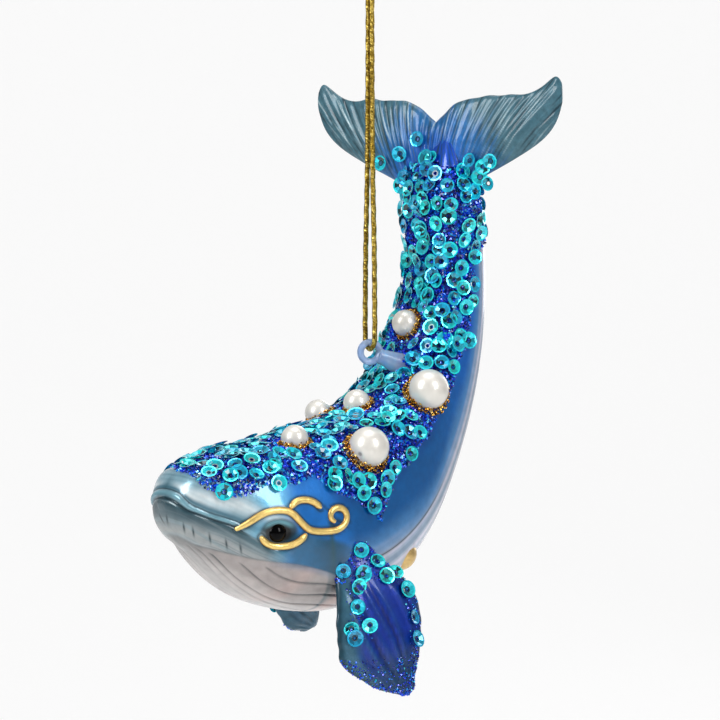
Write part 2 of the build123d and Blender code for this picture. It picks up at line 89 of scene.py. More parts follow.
# Body: the part's cross-sections from snout to tail, from the ring: the back's place and the belly's
# as shares of the length and height, half the width as a share, the share of the way up from the
# belly where the section is widest, and its fullness
BODY_LENGTH = 92.8
BODY_HEIGHT = 109.2
BODY_WIDTH = 39.0
station_shares = [
    (-0.664, -0.288, -0.659, -0.310, 0.080, 0.55, 0.62),
    (-0.653, -0.269, -0.634, -0.359, 0.277, 0.58, 0.65),
    (-0.628, -0.236, -0.591, -0.393, 0.420, 0.60, 0.70),
    (-0.571, -0.219, -0.530, -0.437, 0.600, 0.60, 0.72),
    (-0.485, -0.200, -0.444, -0.492, 0.785, 0.56, 0.75),
    (-0.377, -0.190, -0.323, -0.533, 0.928, 0.52, 0.76),
    (-0.259, -0.172, -0.189, -0.542, 1.000, 0.50, 0.76),
    (-0.135, -0.147, -0.038, -0.498, 0.974, 0.50, 0.76),
    (-0.024, -0.108, 0.095, -0.405, 0.872, 0.50, 0.75),
    (0.067, -0.044, 0.196, -0.275, 0.738, 0.50, 0.75),
    (0.125, 0.037, 0.276, -0.128, 0.615, 0.50, 0.76),
    (0.164, 0.128, 0.325, 0.041, 0.528, 0.50, 0.76),
    (0.175, 0.224, 0.336, 0.188, 0.472, 0.50, 0.76),
    (0.181, 0.389, 0.282, 0.389, 0.421, 0.50, 0.76),
    (0.214, 0.458, 0.240, 0.458, 0.250, 0.50, 0.76),
]
# Rows along the body and points round it, closer together on the face and throat
BODY_ROWS = 318
BODY_ROUND = 150
SNOUT_CAP = 1.0
ROOT_CAP = 1.2

# Lines of the face in side view, from the ring: the mouth, and the lower edge of the lip
mouth_points = [
    (-62.2, -29.4), (-61.2, -30.8), (-59.6, -33.0), (-57.5, -34.2), (-55.0, -35.3), (-50.5, -37.1),
    (-48.8, -38.0), (-44.3, -40.4), (-39.0, -42.6),
]
lip_points = [
    (-60.5, -38.0), (-58.4, -39.8), (-56.2, -41.3), (-53.2, -42.5), (-49.4, -43.7), (-43.7, -45.0),
    (-36.6, -46.2), (-26.9, -48.8), (-12.0, -55.8),
]
MOUTH_END = -47.6
LIP_END = -30.0
RIM_HEIGHT = 1.25
RIM_FRONT_HEIGHT = 2.0
# Painted ticks on the lip: place across the picture and height, from the ring
TICK_LENGTH = 2.5
TICK_WIDTH = 0.24
tick_places = [(-45.8, -35.6), (-41.9, -37.4), (-39.8, -38.4), (-36.1, -39.9), (-32.4, -41.2), (-29.2, -42.3)]
# Throat pleats: how dark each is drawn, and its points as place along X and share of the way
# from the lip's lower edge to the belly's middle
pleat_lines = [
    (1.0, [(-42.8, 0.08), (-39.2, 0.17), (-34.8, 0.20), (-26.0, 0.13), (-12.0, 0.10)]),
    (1.0, [(-47.8, 0.12), (-44.5, 0.25), (-39.2, 0.37), (-35.0, 0.38), (-25.5, 0.25), (-12.0, 0.22)]),
    (1.0, [(-53.0, 0.14), (-48.5, 0.42), (-42.5, 0.55), (-34.5, 0.57), (-29.0, 0.48), (-12.0, 0.40)]),
    (0.5, [(-55.5, 0.14), (-51.0, 0.50), (-45.0, 0.68), (-36.0, 0.73), (-28.0, 0.68), (-12.0, 0.60)]),
    (0.4, [(-57.0, 0.25), (-52.0, 0.70), (-46.0, 0.84), (-36.0, 0.88), (-24.0, 0.86), (-12.0, 0.80)]),
]
PLEAT_WIDTH = 0.26
PLEAT_DEPTH = 0.36

# Flukes: share of the half span, leading and trailing edge, thickness, bow out of their plane
FLUKE_SPAN = 66.0
FLUKE_CHORD = 26.0
FLUKE_THICKNESS = 5.2
FLUKE_FULLNESS = 0.55
FLUKE_TURN = 20.0
FLUKE_CANT = 1.4
FLUKE_SEAT = (21.2, 0.0, 34.0)
fluke_shares = [
    (0.00, 0.000, 0.823, 1.00, 0.000),
    (0.13, 0.077, 0.915, 1.00, 0.000),
    (0.30, 0.212, 0.977, 0.85, 0.008),
    (0.50, 0.338, 1.000, 0.73, 0.023),
    (0.70, 0.469, 1.000, 0.58, 0.038),
    (0.85, 0.592, 1.069, 0.46, 0.046),
    (0.95, 0.738, 1.146, 0.35, 0.046),
    (1.00, 0.904, 1.077, 0.19, 0.046),
]
FLUKE_ROWS = 420
FLUKE_ROUND = 132
FLUKE_RIDGE = 0.22
NOTCH_DEPTH = 1.6
NOTCH_WIDTH = 1.5

# Flippers: share of the run from root to tip, reach ahead and behind, thickness, offset inwards
FLIPPER_WIDTH = 22.0
FLIPPER_THICKNESS = 6.0
FLIPPER_FULLNESS = 0.6
flipper_shares = [
    (0.00, 0.25, 0.10, 1.00, 0.05),
    (0.12, 0.33, 0.24, 1.00, 0.05),
    (0.25, 0.40, 0.40, 0.87, 0.00),
    (0.42, 0.49, 0.45, 0.73, -0.03),
    (0.55, 0.56, 0.41, 0.67, -0.03),
    (0.68, 0.60, 0.34, 0.60, -0.02),
    (0.80, 0.59, 0.25, 0.50, 0.00),
    (0.90, 0.41, 0.17, 0.40, 0.00),
    (0.97, 0.21, 0.11, 0.30, 0.00),
    (1.00, 0.05, 0.05, 0.17, 0.00),
]
# Root, tip, chord's yaw and rise, the whale's middle, and the scale of the front edge
flippers = {
    "left": ((-18.6, -18.0, -42.5), (-10.8, -25.0, -77.4), -15.0, 0.0, 1, 1.0),
    "right": ((-19.5, 18.0, -43.5), (5.2, 27.0, -67.4), 0.0, 47.0, -1, 0.50),
}
FLIPPER_ROWS = 190
FLIPPER_ROUND = 110
FLIPPER_RIDGE = 0.26

# Pearls: place along the body, turn from the back towards the left, diameter, collar width
pearls = {
    "front_left": (0.481, 46, 9.4, 1.1),
    "front_right": (0.481, -76, 9.4, 1.1),
    "rear_left": (0.636, 50, 9.4, 1.1),
    "rear_right": (0.636, -74, 9.4, 1.1),
    "crown": (0.405, 17, 6.4, 0.8),
    "shoulder": (0.532, -28, 6.4, 0.8),
    "saddle": (0.558, 2, 6.4, 0.8),
    "tail": (0.729, -3, 6.4, 0.8),
}
PEARL_LIFT_SHARE = 0.35
PEARL_ROWS = 46
PEARL_ROUND = 64
DRILL_WIDTH = 0.42
# Where a pearl's drilled hole shows: shares of its radius to the right and up in the photograph
drill_shares = {"front_left": (-0.45, -0.34), "crown": (-0.22, -0.36), "saddle": (-0.04, -0.46)}

# Eyes and the gold lines round them, in side view from the eye's middle
EYE_DIAMETER = 5.2
EYE_SINK = 1.5
EYE_PLACE = (-40.5, -39.0)
SCROLL_LENGTH = 27.0
GOLD_LINE_WIDTH = 1.2
GOLD_LINE_ROUND = 18
GOLD_RELIEF = 0.7
lid_line_shares = [
    (-0.338, 0.045), (-0.262, 0.094), (-0.164, 0.160), (-0.08, 0.189), (0.004, 0.194), (0.081, 0.177),
    (0.144, 0.128), (0.20, 0.07), (0.263, 0.022), (0.354, 0.0), (0.466, -0.005), (0.564, 0.012),
    (0.627, 0.066), (0.636, 0.129), (0.599, 0.177), (0.536, 0.187), (0.487, 0.157), (0.48, 0.107),
    (0.515, 0.075),
]
lower_lid_shares = [
    (-0.15, -0.028), (-0.108, -0.072), (-0.052, -0.102), (0.025, -0.113), (0.109, -0.103),
    (0.179, -0.067), (0.228, -0.022),
]
brow_shares = [(0.095, 0.216), (0.144, 0.253), (0.214, 0.27), (0.284, 0.262), (0.34, 0.236), (0.382, 0.2)]

SEAL_DIAMETER = 8.0
SEAL_SINK = 2.6
SEAL_PLACE = (0.522, 136)

# Sequins on the flukes: distance from the middle as a share of half the span, and height above the
# seat as a share of the chord
fluke_sequin_shares = [
    (0.11, 0.62), (0.26, 0.49), (0.42, 0.41), (0.10, 0.34), (0.22, 0.27), (0.26, 0.20), (-0.31, 0.41),
    (-0.48, 0.40), (-0.42, 0.35), (-0.18, 0.17), (-0.35, 0.13), (-0.46, 0.20), (-0.39, 0.26), (0.05, 0.13),
]

# Sequins on the outer face of a flipper: share of the run from root to tip, and share of the way
# from the middle to the trailing edge, or below 0 to the leading edge
flipper_sequin_shares = [
    (0.05, -0.10), (0.18, -0.80), (0.20, -0.25), (0.28, -0.50), (0.13, 0.45), (0.23, 0.40), (0.21, 0.75),
    (0.32, 0.74), (0.41, -0.60), (0.53, -0.40), (0.55, -0.75), (0.61, -0.70), (0.50, 0.72), (0.64, 0.74),
]

# Sequins round the root of the ring's stem: share of its length, turn from its top to the near side
stem_sequin_places = [
    (0.66, 60), (0.58, 118), (0.80, 125), (0.86, 84), (0.94, 45), (0.74, 165), (1.02, 130), (1.04, 70),
]
# How much nearer the trimmings come to the stem's foot than to a pearl, in millimetres
STEM_CROWDING = 2.2
# Where along the stem its beads begin, and how many lie on it
STEM_BEADS_FROM = 0.42
STEM_BEADS = 260
# Fine grains on a flipper: at its edges and tip, and round its root
FLIPPER_GRAINS = 760
FLIPPER_ROOT_GRAINS = 420

# How far round from the back the trimmings reach, at places along the body
cover_shares = [
    (0.15, 50), (0.17, 68), (0.22, 78), (0.25, 71), (0.285, 63), (0.33, 58), (0.38, 57), (0.42, 65),
    (0.47, 90), (0.49, 80), (0.52, 71), (0.61, 67), (0.66, 72), (0.70, 81), (0.78, 88), (0.86, 98),
    (0.885, 180), (0.925, 180), (0.94, 60), (0.96, 40),
]
COVER_START = 0.157
COVER_END = 0.955
# How far the net reaches to each side of the back, as a share of the body's width
NET_REACH = 1.7
# Share of the body by which the right side's trimmings begin later, for each 25 degrees of turn
FAR_SIDE_START = 0.03
# Share of the sequins that is left out, and the room they and the beads keep round a pearl
SEQUIN_VOIDS = 0.08
SEQUIN_ROOM = 2.5
BEAD_ROOM = 1.2
# Zones of the trimmings, with the place along the body where each ends
cover_zones = [("head", 0.386), ("shoulders", 0.557), ("back", 0.75), ("tail", 1.0)]

# Camera: the photograph's angle, and where the ring stands in its frame
PHOTO_SIDE = 720
PHOTO_SCALE = 0.235
RING_PIXEL = (370.0, 352.0)
CAMERA_AZIMUTH = -40.0
CAMERA_ELEVATION = 3.0
CAMERA_DISTANCE = 900.0
SENSOR_WIDTH = 36.0

# Lamps, in metres and watts: how far each stands towards the camera, to its right and above the
# ring, its width and height, and its power. The air's light is a share of white.
lamps = [
    ("window_left", (0.5, -0.62, 0.38), (0.30, 0.60), 5.0),
    ("window_right", (0.55, 0.50, 0.30), (0.22, 0.50), 3.2),
    ("overhead", (0.0, 0.0, 0.75), (0.5, 0.5), 2.4),
    ("behind", (-0.6, 0.3, 0.25), (0.5, 0.5), 1.6),
]
AIR_STRENGTH = 0.26
# Studio paper, in metres: distance behind the whale and height, from under the camera up the wall
FLOOR = -0.30
paper_profile = [
    (-2.2, FLOOR), (0.5, FLOOR), (0.8, FLOOR + 0.05), (0.95, FLOOR + 0.2), (1.0, FLOOR + 0.5), (1.0, 2.2),
]
PAPER_WIDTH = 5.0
PAPER_ROWS = 60


def linear(code):
    """Linear red, green and blue of an sRGB hex colour."""
    parts = np.array([int(code[place : place + 2], 16) for place in (1, 3, 5)]) / 255
    return tuple(np.where(parts <= 0.04045, parts / 12.92, ((parts + 0.055) / 1.055) ** 2.4))


def opaque(code):
    """The same colour with the full alpha that sockets ask for."""
    return (*linear(code), 1)


def colour_property(name, description, code):
    """A colour that a user can change."""
    return bpy.props.FloatVectorProperty(
        name=name, description=description, default=linear(code), subtype="COLOR", min=0, max=1
    )


def length_property(name, description, millimetres):
    """A length that a user can change, kept in metres."""
    return bpy.props.FloatProperty(
        name=name, description=description, default=millimetres * MM, unit="LENGTH"
    )


class WhaleTrim(bpy.types.PropertyGroup):
    """Sizes of the trimmings that are glued to the glass."""

    sequin_diameter: length_property("Sequin", "Diameter of a cup sequin", 4.0)
    sequin_spacing: length_property("Sequin spacing", "Distance between neighbouring sequins", 3.55)
    bead_size: length_property("Bead", "Size of a glass bead or grain between the sequins", 0.9)
    bead_spacing: length_property("Bead spacing", "Distance between neighbouring beads", 0.54)
    grain_size: length_property("Gold grain", "Size of a gold grain in a pearl's collar", 0.5)


class WhalePaint(bpy.types.PropertyGroup):
    """Colours of the lacquer on the glass."""

    back: colour_property("Back", "Under the sequins", "#022488")
    flank: colour_property("Flank", "Side of the body", "#005a9e")
    tail: colour_property("Tail", "Side of the tail stock", "#0066cc")
    belly: colour_property("Belly", "Silvered underside", "#cdcbdc")
    shade: colour_property("Shade", "Edge of the belly", "#4f8cc4")
    crown: colour_property("Crown", "Top of the head", "#7fa6b6")
    cheek: colour_property("Cheek", "Behind the eye", "#165f8a")
    throat: colour_property("Throat", "Pleated throat", "#a09997")
    ink: colour_property("Ink", "Painted lines", "#12303a")
    fluke: colour_property("Fluke", "Outer flukes", "#3d6573")
    streak: colour_property("Streak", "Pale streaks on the ridges", "#a9c1c7")
    royal: colour_property("Royal", "Flippers", "#002c92")


# Shapes worked out as arrays


def through(knots, values, places):
    """The natural cubic spline through values at knots, read at places: the second derivatives
    solve the usual three-banded system, and each span is the cubic that they give."""
    knots, values, places = (np.asarray(item, float) for item in (knots, values, places))
    gap = np.diff(knots)
    slope = np.diff(values, axis=0) / gap[:, None]
    bands = np.eye(len(knots))
    inner = np.arange(1, len(knots) - 1)
    bands[inner, inner - 1] = gap[:-1]
    bands[inner, inner] = 2 * (gap[:-1] + gap[1:])
    bands[inner, inner + 1] = gap[1:]
    bend = np.zeros_like(values)
    bend[1:-1] = 6 * np.diff(slope, axis=0)
    bend = np.linalg.solve(bands, bend)
    span = np.clip(np.searchsorted(knots, places, side="right") - 1, 0, len(gap) - 1)
    part = (places - knots[span])[..., None]
    wide = gap[span][..., None]
    left, right = bend[span], bend[span + 1]
    linear_part = slope[span] - wide * (2 * left + right) / 6
    return values[span] + part * linear_part + part**2 * left / 2 + part**3 * (right - left) / (6 * wide)


def curve_through(points, count):
    """Points spaced along the spline through a few points, by the distance between them."""
    points = np.asarray(points, float)
    knots = lengths_along(points)
    return through(knots, points, np.linspace(0, knots[-1], count))


def height_over(points, places):
    """A line's height and slope at places along X, the slope over a tenth of a millimetre."""
    points = np.asarray(points, float)
    places = np.clip(places, points[0, 0], points[-1, 0])
    height = through(points[:, 0], points[:, 1:], places)[..., 0]
    ahead = through(points[:, 0], points[:, 1:], places + 0.1)[..., 0]
    return height, (ahead - height) / 0.1


def unit(vectors):
    """Vectors brought to length one."""
    return vectors / np.maximum(np.linalg.norm(vectors, axis=-1, keepdims=True), 1e-12)


def level_direction(turn, rise=0.0):
    """The direction that +X points in once it is raised and then turned about Z."""
    turn, rise = math.radians(turn), math.radians(rise)
    return np.array([math.cos(rise) * math.cos(turn), math.cos(rise) * math.sin(turn), math.sin(rise)])


def picture_axes():
    """Directions to the right and up in the photograph, and from the whale to the camera."""
    back = level_direction(CAMERA_AZIMUTH - 90, CAMERA_ELEVATION)
    right = level_direction(CAMERA_AZIMUTH)
    return right, np.cross(back, right), back


def ease(value, low, high):
    """0 below low, 1 above high, and a smooth step between."""
    part = np.clip((value - low) / (high - low), 0, 1)
    return part * part * (3 - 2 * part)


def ridge(distance, width):
    """A bell of height one over a line, width wide."""
    return np.exp(-((distance / width) ** 2))


def mix(first, second, share):
    """Colours between two colours, by a share for each point."""
    return first + (np.asarray(second) - first) * np.asarray(share)[..., None]


def palette(*codes):
    """Linear colours of several hex codes, one to a row."""
    return np.array([linear(code) for code in codes])


def layered(colour, *layers):
    """A colour with others laid over it in turn, each a hex code or a colour and its share."""
    colour = np.asarray(linear(colour) if isinstance(colour, str) else colour)
    for code, share in layers:
        colour = mix(colour, linear(code) if isinstance(code, str) else code, share)
    return colour


def with_poles(colour):
    """Colours of a grid of rings in a row, and then those of its two poles."""
    return np.concatenate([colour.reshape(-1, 3), [colour[0, 0], colour[-1, 0]]])


def lengths_along(points):
    """Distance of each point from the first along a line through them all."""
    return np.concatenate([[0], np.cumsum(np.linalg.norm(np.diff(points, axis=0), axis=1))])


def ripple(places, seed, lowest, highest, count=7):
    """An uneven wave, mostly in -1 to 1: a sum of sines with unlike frequencies and phases."""
    pick = np.random.default_rng(seed)
    total = 0
    for _ in range(count):
        total = total + np.sin(places * pick.uniform(lowest, highest) + pick.uniform(0, 2 * math.pi))
    return total / count * 1.6


def oval(ahead, behind, half, fullness, quarter):
    """A cross-section's reach along its height and across it, at turns counted in quarters from
    its top: each quarter is a cubic whose handles are fullness long."""
    part = np.mod(quarter, 1)
    upper = np.mod(quarter, 4) // 1
    part = np.where(upper % 2 == 0, part, 1 - part)
    rest = 1 - part
    tall = rest**3 + 3 * rest**2 * part + fullness * 3 * rest * part**2
    wide = part**3 + 3 * part**2 * rest + fullness * 3 * part * rest**2
    below = (upper == 1) | (upper == 2)
    return np.where(below, -behind * tall, ahead * tall), np.where(upper >= 2, -half * wide, half * wide)


station_scale = [BODY_LENGTH, BODY_HEIGHT, BODY_LENGTH, BODY_HEIGHT, BODY_WIDTH / 2, 1, 1]
stations = np.array(station_shares) * station_scale
station_middles = (stations[:, :2] + stations[:, 2:4]) / 2
station_knots = lengths_along(station_middles)


def body_section(along):
    """Middle, direction of the back, reach of back and belly, half width and fullness of the
    body's cross-section at places from 0, the snout, to 1, the root of the flukes."""
    along = np.asarray(along, float)
    places = np.interp(along * (len(stations) - 1), np.arange(len(stations)), station_knots)
    rows = through(station_knots, stations, places)
    flat = np.zeros_like(along)
    back = np.stack([rows[..., 0], flat, rows[..., 1]], -1) + RING_CENTRE
    belly = np.stack([rows[..., 2], flat, rows[..., 3]], -1) + RING_CENTRE
    middle = belly + (back - belly) * rows[..., 5:6]
    ahead = np.linalg.norm(back - middle, axis=-1)
    behind = np.linalg.norm(middle - belly, axis=-1)
    return middle, unit(back - middle), ahead, behind, rows[..., 4], rows[..., 6]


def body_point(along, quarter):
    """The body's bare skin: at each place along it an oval across the back-to-belly direction.
    A quarter of 0 is the back, 1 the left side, 2 the belly and 3 the right side."""
    middle, back, ahead, behind, half, fullness = body_section(along)
    tall, wide = oval(ahead, behind, half, fullness, quarter)
    return middle + back * tall[..., None] - np.array([0, 1, 0]) * wide[..., None]


def on_skin(along, turn):
    """Points and outward normals of the skin at places along the body and turns in degrees from
    the back to the left, as seen from the middle of the cross-section."""
    along, turn = np.broadcast_arrays(np.asarray(along, float), np.asarray(turn, float))
    quarters = np.linspace(0, 2, 241)
    _, _, ahead, behind, half, fullness = (item[..., None] for item in body_section(along))
    tall, wide = oval(ahead, behind, half, fullness, quarters)
    angles = np.degrees(np.arctan2(wide, tall))
    angles[..., -1] = 180
    size = np.abs(turn)[..., None]
    index = np.clip((angles < size).sum(-1), 1, len(quarters) - 1)[..., None]
    low = np.take_along_axis(angles, index - 1, -1)
    high = np.take_along_axis(angles, index, -1)
    share = np.clip((size - low) / np.maximum(high - low, 1e-9), 0, 1)
    quarter = (quarters[index - 1] + (quarters[index] - quarters[index - 1]) * share)[..., 0]
    quarter = quarter * np.where(turn < 0, -1, 1)
    point = body_point(along, quarter)
    run = body_point(along + 0.002, quarter) - body_point(along - 0.002, quarter)
    across = body_point(along, quarter + 0.01) - body_point(along, quarter - 0.01)
    normal = unit(np.cross(run, across))
    centre = body_section(along)[0]
    return point, normal * np.sign(np.sum(normal * (point - centre), -1, keepdims=True))


def body_grid():
    """The body's skin as rows of points, with each point's way round from the back as a share of
    half the girth, and the distance from the lip's lower edge as a share of the way to the belly."""
    along = np.interp(np.linspace(0, 1, BODY_ROWS), [0, 0.68, 1], [0, 0.38, 1])
    half = np.interp(np.linspace(0, 1, BODY_ROUND + 1), [0, 0.14, 0.95, 1], [0, 0.72, 1.86, 2])
    left = body_point(along[:, None], half[None, :])
    steps = np.linalg.norm(np.diff(left, axis=1), axis=2)
    girth = np.concatenate([np.zeros((BODY_ROWS, 1)), np.cumsum(steps, axis=1)], axis=1)
    lip, _ = height_over(lip_points, left[..., 0])
    over = left[..., 2] + RING_DROP - lip
    last = np.clip((over > 0).sum(axis=1) - 1, 0, BODY_ROUND - 1)[:, None]
    high, low = np.take_along_axis(over, last, 1), np.take_along_axis(over, last + 1, 1)
    start = np.take_along_axis(girth, last, 1)
    crossing = np.clip(high / np.maximum(high - low, 1e-9), 0, 1)
    start = start + (np.take_along_axis(girth, last + 1, 1) - start) * crossing
    way = np.maximum(girth[:, -1:] - start, 1)
    mirrored = np.s_[:, BODY_ROUND - 1 : 0 : -1]
    right = left[mirrored] * [1, -1, 1]
    girth, lip_share = (
        np.concatenate([item, item[mirrored]], axis=1)
        for item in (girth / girth[:, -1:], (girth - start) / way)
    )
    return np.concatenate([left, right], axis=1), along[:, None], girth, lip_share, way


def normals_of(points):
    """Normals of a grid of rings, from the differences along and round it, pointing outwards."""
    run = np.gradient(points, axis=0)
    across = np.roll(points, -1, axis=1) - np.roll(points, 1, axis=1)
    normal = unit(np.cross(run, across))
    outward = points - points.mean(axis=1, keepdims=True)
    return normal * np.sign(np.sum(normal * outward))


def distance_to(points, line):
    """Distance of each point from a line of short runs."""
    shape = points.shape[:-1]
    flat = points.reshape(-1, 3)
    nearest = np.full(len(flat), np.inf)
    for start, end in zip(line[:-1], line[1:]):
        run = end - start
        share = np.clip((flat - start) @ run / (run @ run), 0, 1)
        nearest = np.minimum(nearest, np.linalg.norm(flat - start - share[:, None] * run, axis=1))
    return nearest.reshape(shape)


def rim_height(x):
    """Height of the rim over the mouth: deeper at the snout."""
    return RIM_FRONT_HEIGHT + (RIM_HEIGHT - RIM_FRONT_HEIGHT) * ease(x, -61.5, -55.5)


def shaped_body(points, along, lip_share, way):
    """The skin with its moulded relief: a rim over the mouth, a groove at the mouth and at the
    lip's lower edge, pleats down the throat, a hollow round the eye and a swelling over it."""
    x, z = points[..., 0], points[..., 2] + RING_DROP
    normal = normals_of(points)
    mouth, mouth_slope = height_over(mouth_points, x)
    over_mouth = (z - mouth) / np.hypot(1, mouth_slope)
    lip, lip_slope = height_over(lip_points, x)
    over_lip = (z - lip) / np.hypot(1, lip_slope)
    at_mouth = 1 - ease(x, MOUTH_END - 2, MOUTH_END + 1.5)
    at_lip = 1 - ease(x, LIP_END - 8, LIP_END + 4)
    relief = at_mouth * (0.30 * ridge(over_mouth - rim_height(x) / 2, 0.55) - 0.45 * ridge(over_mouth, 0.28))
    relief -= at_mouth * 0.14 * ridge(over_mouth - rim_height(x), 0.22)
    relief -= at_lip * 0.26 * ridge(over_lip, 0.42)
    relief += at_lip * at_mouth * 0.22 * ridge(over_lip - 2.2, 1.4)
    pleats = np.zeros_like(x)
    for strength, line in pleat_lines:
        share, _ = height_over(line, x)
        begun = ease(x, line[0][0], line[0][0] + 1.5)
        pleats = np.maximum(pleats, strength * ridge((lip_share - share) * way, PLEAT_WIDTH) * begun)
    deep = 1 - 0.8 * ease(along, 0.42, 0.60)
    gone = 1 - ease(along, 0.70, 0.82)
    relief -= PLEAT_DEPTH * pleats * deep * gone
    eye = np.array([EYE_PLACE[0], 0, EYE_PLACE[1] - RING_DROP])
    off_eye = np.hypot(x - eye[0], points[..., 2] - eye[2]) + 100 * (np.abs(points[..., 1]) < 8)
    relief += 0.5 * ridge(np.maximum(off_eye - 5.5, 0), 2.5) * ease(off_eye, 2.5, 5)
    relief -= 0.35 * ridge(off_eye, 3.0)
    return points + normal * relief[..., None], over_mouth, over_lip, at_mouth, at_lip, pleats * gone


bare_body, body_along, body_girth, body_lip_share, body_way = body_grid()
body_points, over_mouth, over_lip, at_mouth, at_lip, body_pleats = shaped_body(
    bare_body, body_along, body_lip_share, body_way
)
body_normals = normals_of(body_points)


def on_cheek(shares, count=120):
    """A line drawn in side view from the eye, laid on the left cheek: each point's place across
    the whale is the mean of the skin near it, weighted by a bell 0.7 mm wide."""
    line = curve_through(np.array(shares) * SCROLL_LENGTH, count) if len(shares) > 1 else np.array(shares)
    flat = line + [EYE_PLACE[0], EYE_PLACE[1] - RING_DROP]
    side = body_points[:, : BODY_ROUND + 1].reshape(-1, 3)
    normal = body_normals[:, : BODY_ROUND + 1].reshape(-1, 3)
    near = (side[:, 0] > flat[:, 0].min() - 4) & (side[:, 0] < flat[:, 0].max() + 4) & (side[:, 1] < -6)
    side, normal = side[near], normal[near]
    off = (side[None, :, 0] - flat[:, None, 0]) ** 2 + (side[None, :, 2] - flat[:, None, 1]) ** 2
    weight = np.exp(-off / 0.5)
    weight /= weight.sum(axis=1, keepdims=True)
    return np.stack([flat[:, 0], weight @ side[:, 1], flat[:, 1]], axis=1), unit(weight @ normal)


def fluke_axes():
    """Directions across the flukes, up them and out of their face, and the middle of their root."""
    face = level_direction(FLUKE_TURN)
    across = level_direction(FLUKE_TURN + 90)
    cant = math.radians(FLUKE_CANT)
    across = across * math.cos(cant) - np.array([0, 0, 1]) * math.sin(cant)
    return across, np.cross(face, across), face, RING_CENTRE + FLUKE_SEAT


def fluke_grid(rows, round_):
    """The flukes as rings from tip to tip: at each share of the half span an oval between the
    leading and the trailing edge, raised along ridges that fan out from under the root."""
    across, up, face, seat = fluke_axes()
    half = np.array(fluke_shares)
    whole = np.concatenate([half[::-1] * [-1, 1, 1, 1, 1], half[1:]])
    knots = lengths_along(whole[:, :3])
    turn = np.linspace(0, math.pi, rows)
    places = knots[-1] * (0.5 - 0.5 * np.cos(turn)) * 0.25 + np.linspace(0, knots[-1], rows) * 0.75
    rows_at = through(knots, whole, places)
    out, lead, trail, thick, bow = (rows_at[:, [column]] for column in range(5))
    quarter = np.arange(round_)[None, :] * 4 / round_
    reach = (trail - lead) / 2 * FLUKE_CHORD
    tall, wide = oval(reach, reach, thick * FLUKE_THICKNESS / 2, FLUKE_FULLNESS, quarter)
    rise = (lead + trail) / 2 * FLUKE_CHORD + tall
    span = out * FLUKE_SPAN / 2
    fan = np.arctan2(span + 0 * rise, rise + 12)
    inside = 1 - np.abs(tall / np.maximum(reach, 1e-6)) ** 6
    folds = 0.55 * ripple(fan, 3, 45, 80) + 0.75 * ripple(fan + 0.004 * rise, 6, 95, 190)
    wide = wide + np.sign(wide) * FLUKE_RIDGE * folds * inside * ease(rise, 2, 9) * np.clip(thick * 2, 0, 1)
    at_trail = ease(tall / np.maximum(reach, 1e-6), 0.6, 1)
    notch = (0.3 * ripple(fan, 8, 20, 60) - NOTCH_DEPTH * np.exp(-np.abs(span) / NOTCH_WIDTH)) * at_trail
    points = seat + span[..., None] * across + (rise + notch)[..., None] * up
    points = points + (wide + bow * FLUKE_CHORD)[..., None] * face
    return points, fan, rise / FLUKE_CHORD, np.abs(out) + 0 * rise, folds


def flipper_grid(side, rows, round_):
    """A flipper as rings from root to tip: an oval across the chord at each share of the run,
    with shallow ridges that spread from the root."""
    root, tip, yaw, rise, inward, lead = flippers[side]
    chord = level_direction(yaw, rise)
    run = np.subtract(tip, root)
    face = unit(np.cross(run, chord))
    table = np.array(flipper_shares)
    places = 1 - (1 - np.linspace(0, 1, rows)) ** 1.6
    rows_at = through(table[:, 0], table, places)
    place, ahead, behind, thick, offset = (rows_at[:, [column]] for column in range(5))
    ahead, behind = (np.maximum(item, 0.01) * FLIPPER_WIDTH for item in (ahead * lead, behind))
    quarter = np.arange(round_)[None, :] * 4 / round_
    tall, wide = oval(behind, ahead, thick * FLIPPER_THICKNESS / 2, FLIPPER_FULLNESS, quarter)
    share = np.where(tall > 0, tall / behind, tall / ahead)
    fan = share * (0.6 + 0.3 * place) - 0.75 * place
    folds = ripple(fan + 0 * place, 21, 12, 34, 6)
    inside = 1 - np.abs(share) ** 4
    raised = inside * ease(place, 0.15, 0.4) * ease(1 - place, 0, 0.15)
    wide = wide + np.sign(wide) * FLIPPER_RIDGE * folds * raised
    scallop = 0.22 * ripple(place * 40 + 0 * tall, 4, 0.7, 1.5, 4)
    scallop = scallop * ease(np.abs(share), 0.8, 1) * ease(place, 0.3, 0.5)
    middle = RING_CENTRE + root + run * place + np.array([0, inward, 0]) * offset * FLIPPER_WIDTH
    points = middle[:, None, :] + (tall + scallop * np.sign(tall))[..., None] * chord + wide[..., None] * face
    return points, place + 0 * share, share, folds, face


# Meshes


def mesh_piece(name, points, faces, material, body="whale", colours=None, uv=None, smooth=True):
    """A mesh object of the whale or the cord, from points in millimetres."""
    points = np.asarray(points, float).reshape(-1, 3)
    mesh = bpy.data.meshes.new(name)
    mesh.from_pydata((points * MM).tolist(), [], faces)
    if colours is not None:
        colours = np.asarray(colours).reshape(-1, 3)
        domain = "POINT" if len(colours) == len(points) else "CORNER"
        paint = mesh.color_attributes.new("paint", "FLOAT_COLOR", domain)
        values = np.concatenate([colours, np.ones((len(colours), 1))], axis=1)
        paint.data.foreach_set("color", values.astype(np.float32).ravel())
    if uv is not None:
        corner = np.zeros(len(mesh.loops), np.int32)
        mesh.loops.foreach_get("vertex_index", corner)
        layer = mesh.uv_layers.new(name="run")
        layer.data.foreach_set("uv", np.asarray(uv).reshape(-1, 2)[corner].astype(np.float32).ravel())
    mesh.polygons.foreach_set("use_smooth", np.full(len(mesh.polygons), smooth))
    mesh.materials.append(material)
    mesh.update()
    piece = bpy.data.objects.new(name, mesh)
    bpy.context.scene.collection.objects.link(piece)
    if body:
        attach(piece, body)
    return piece


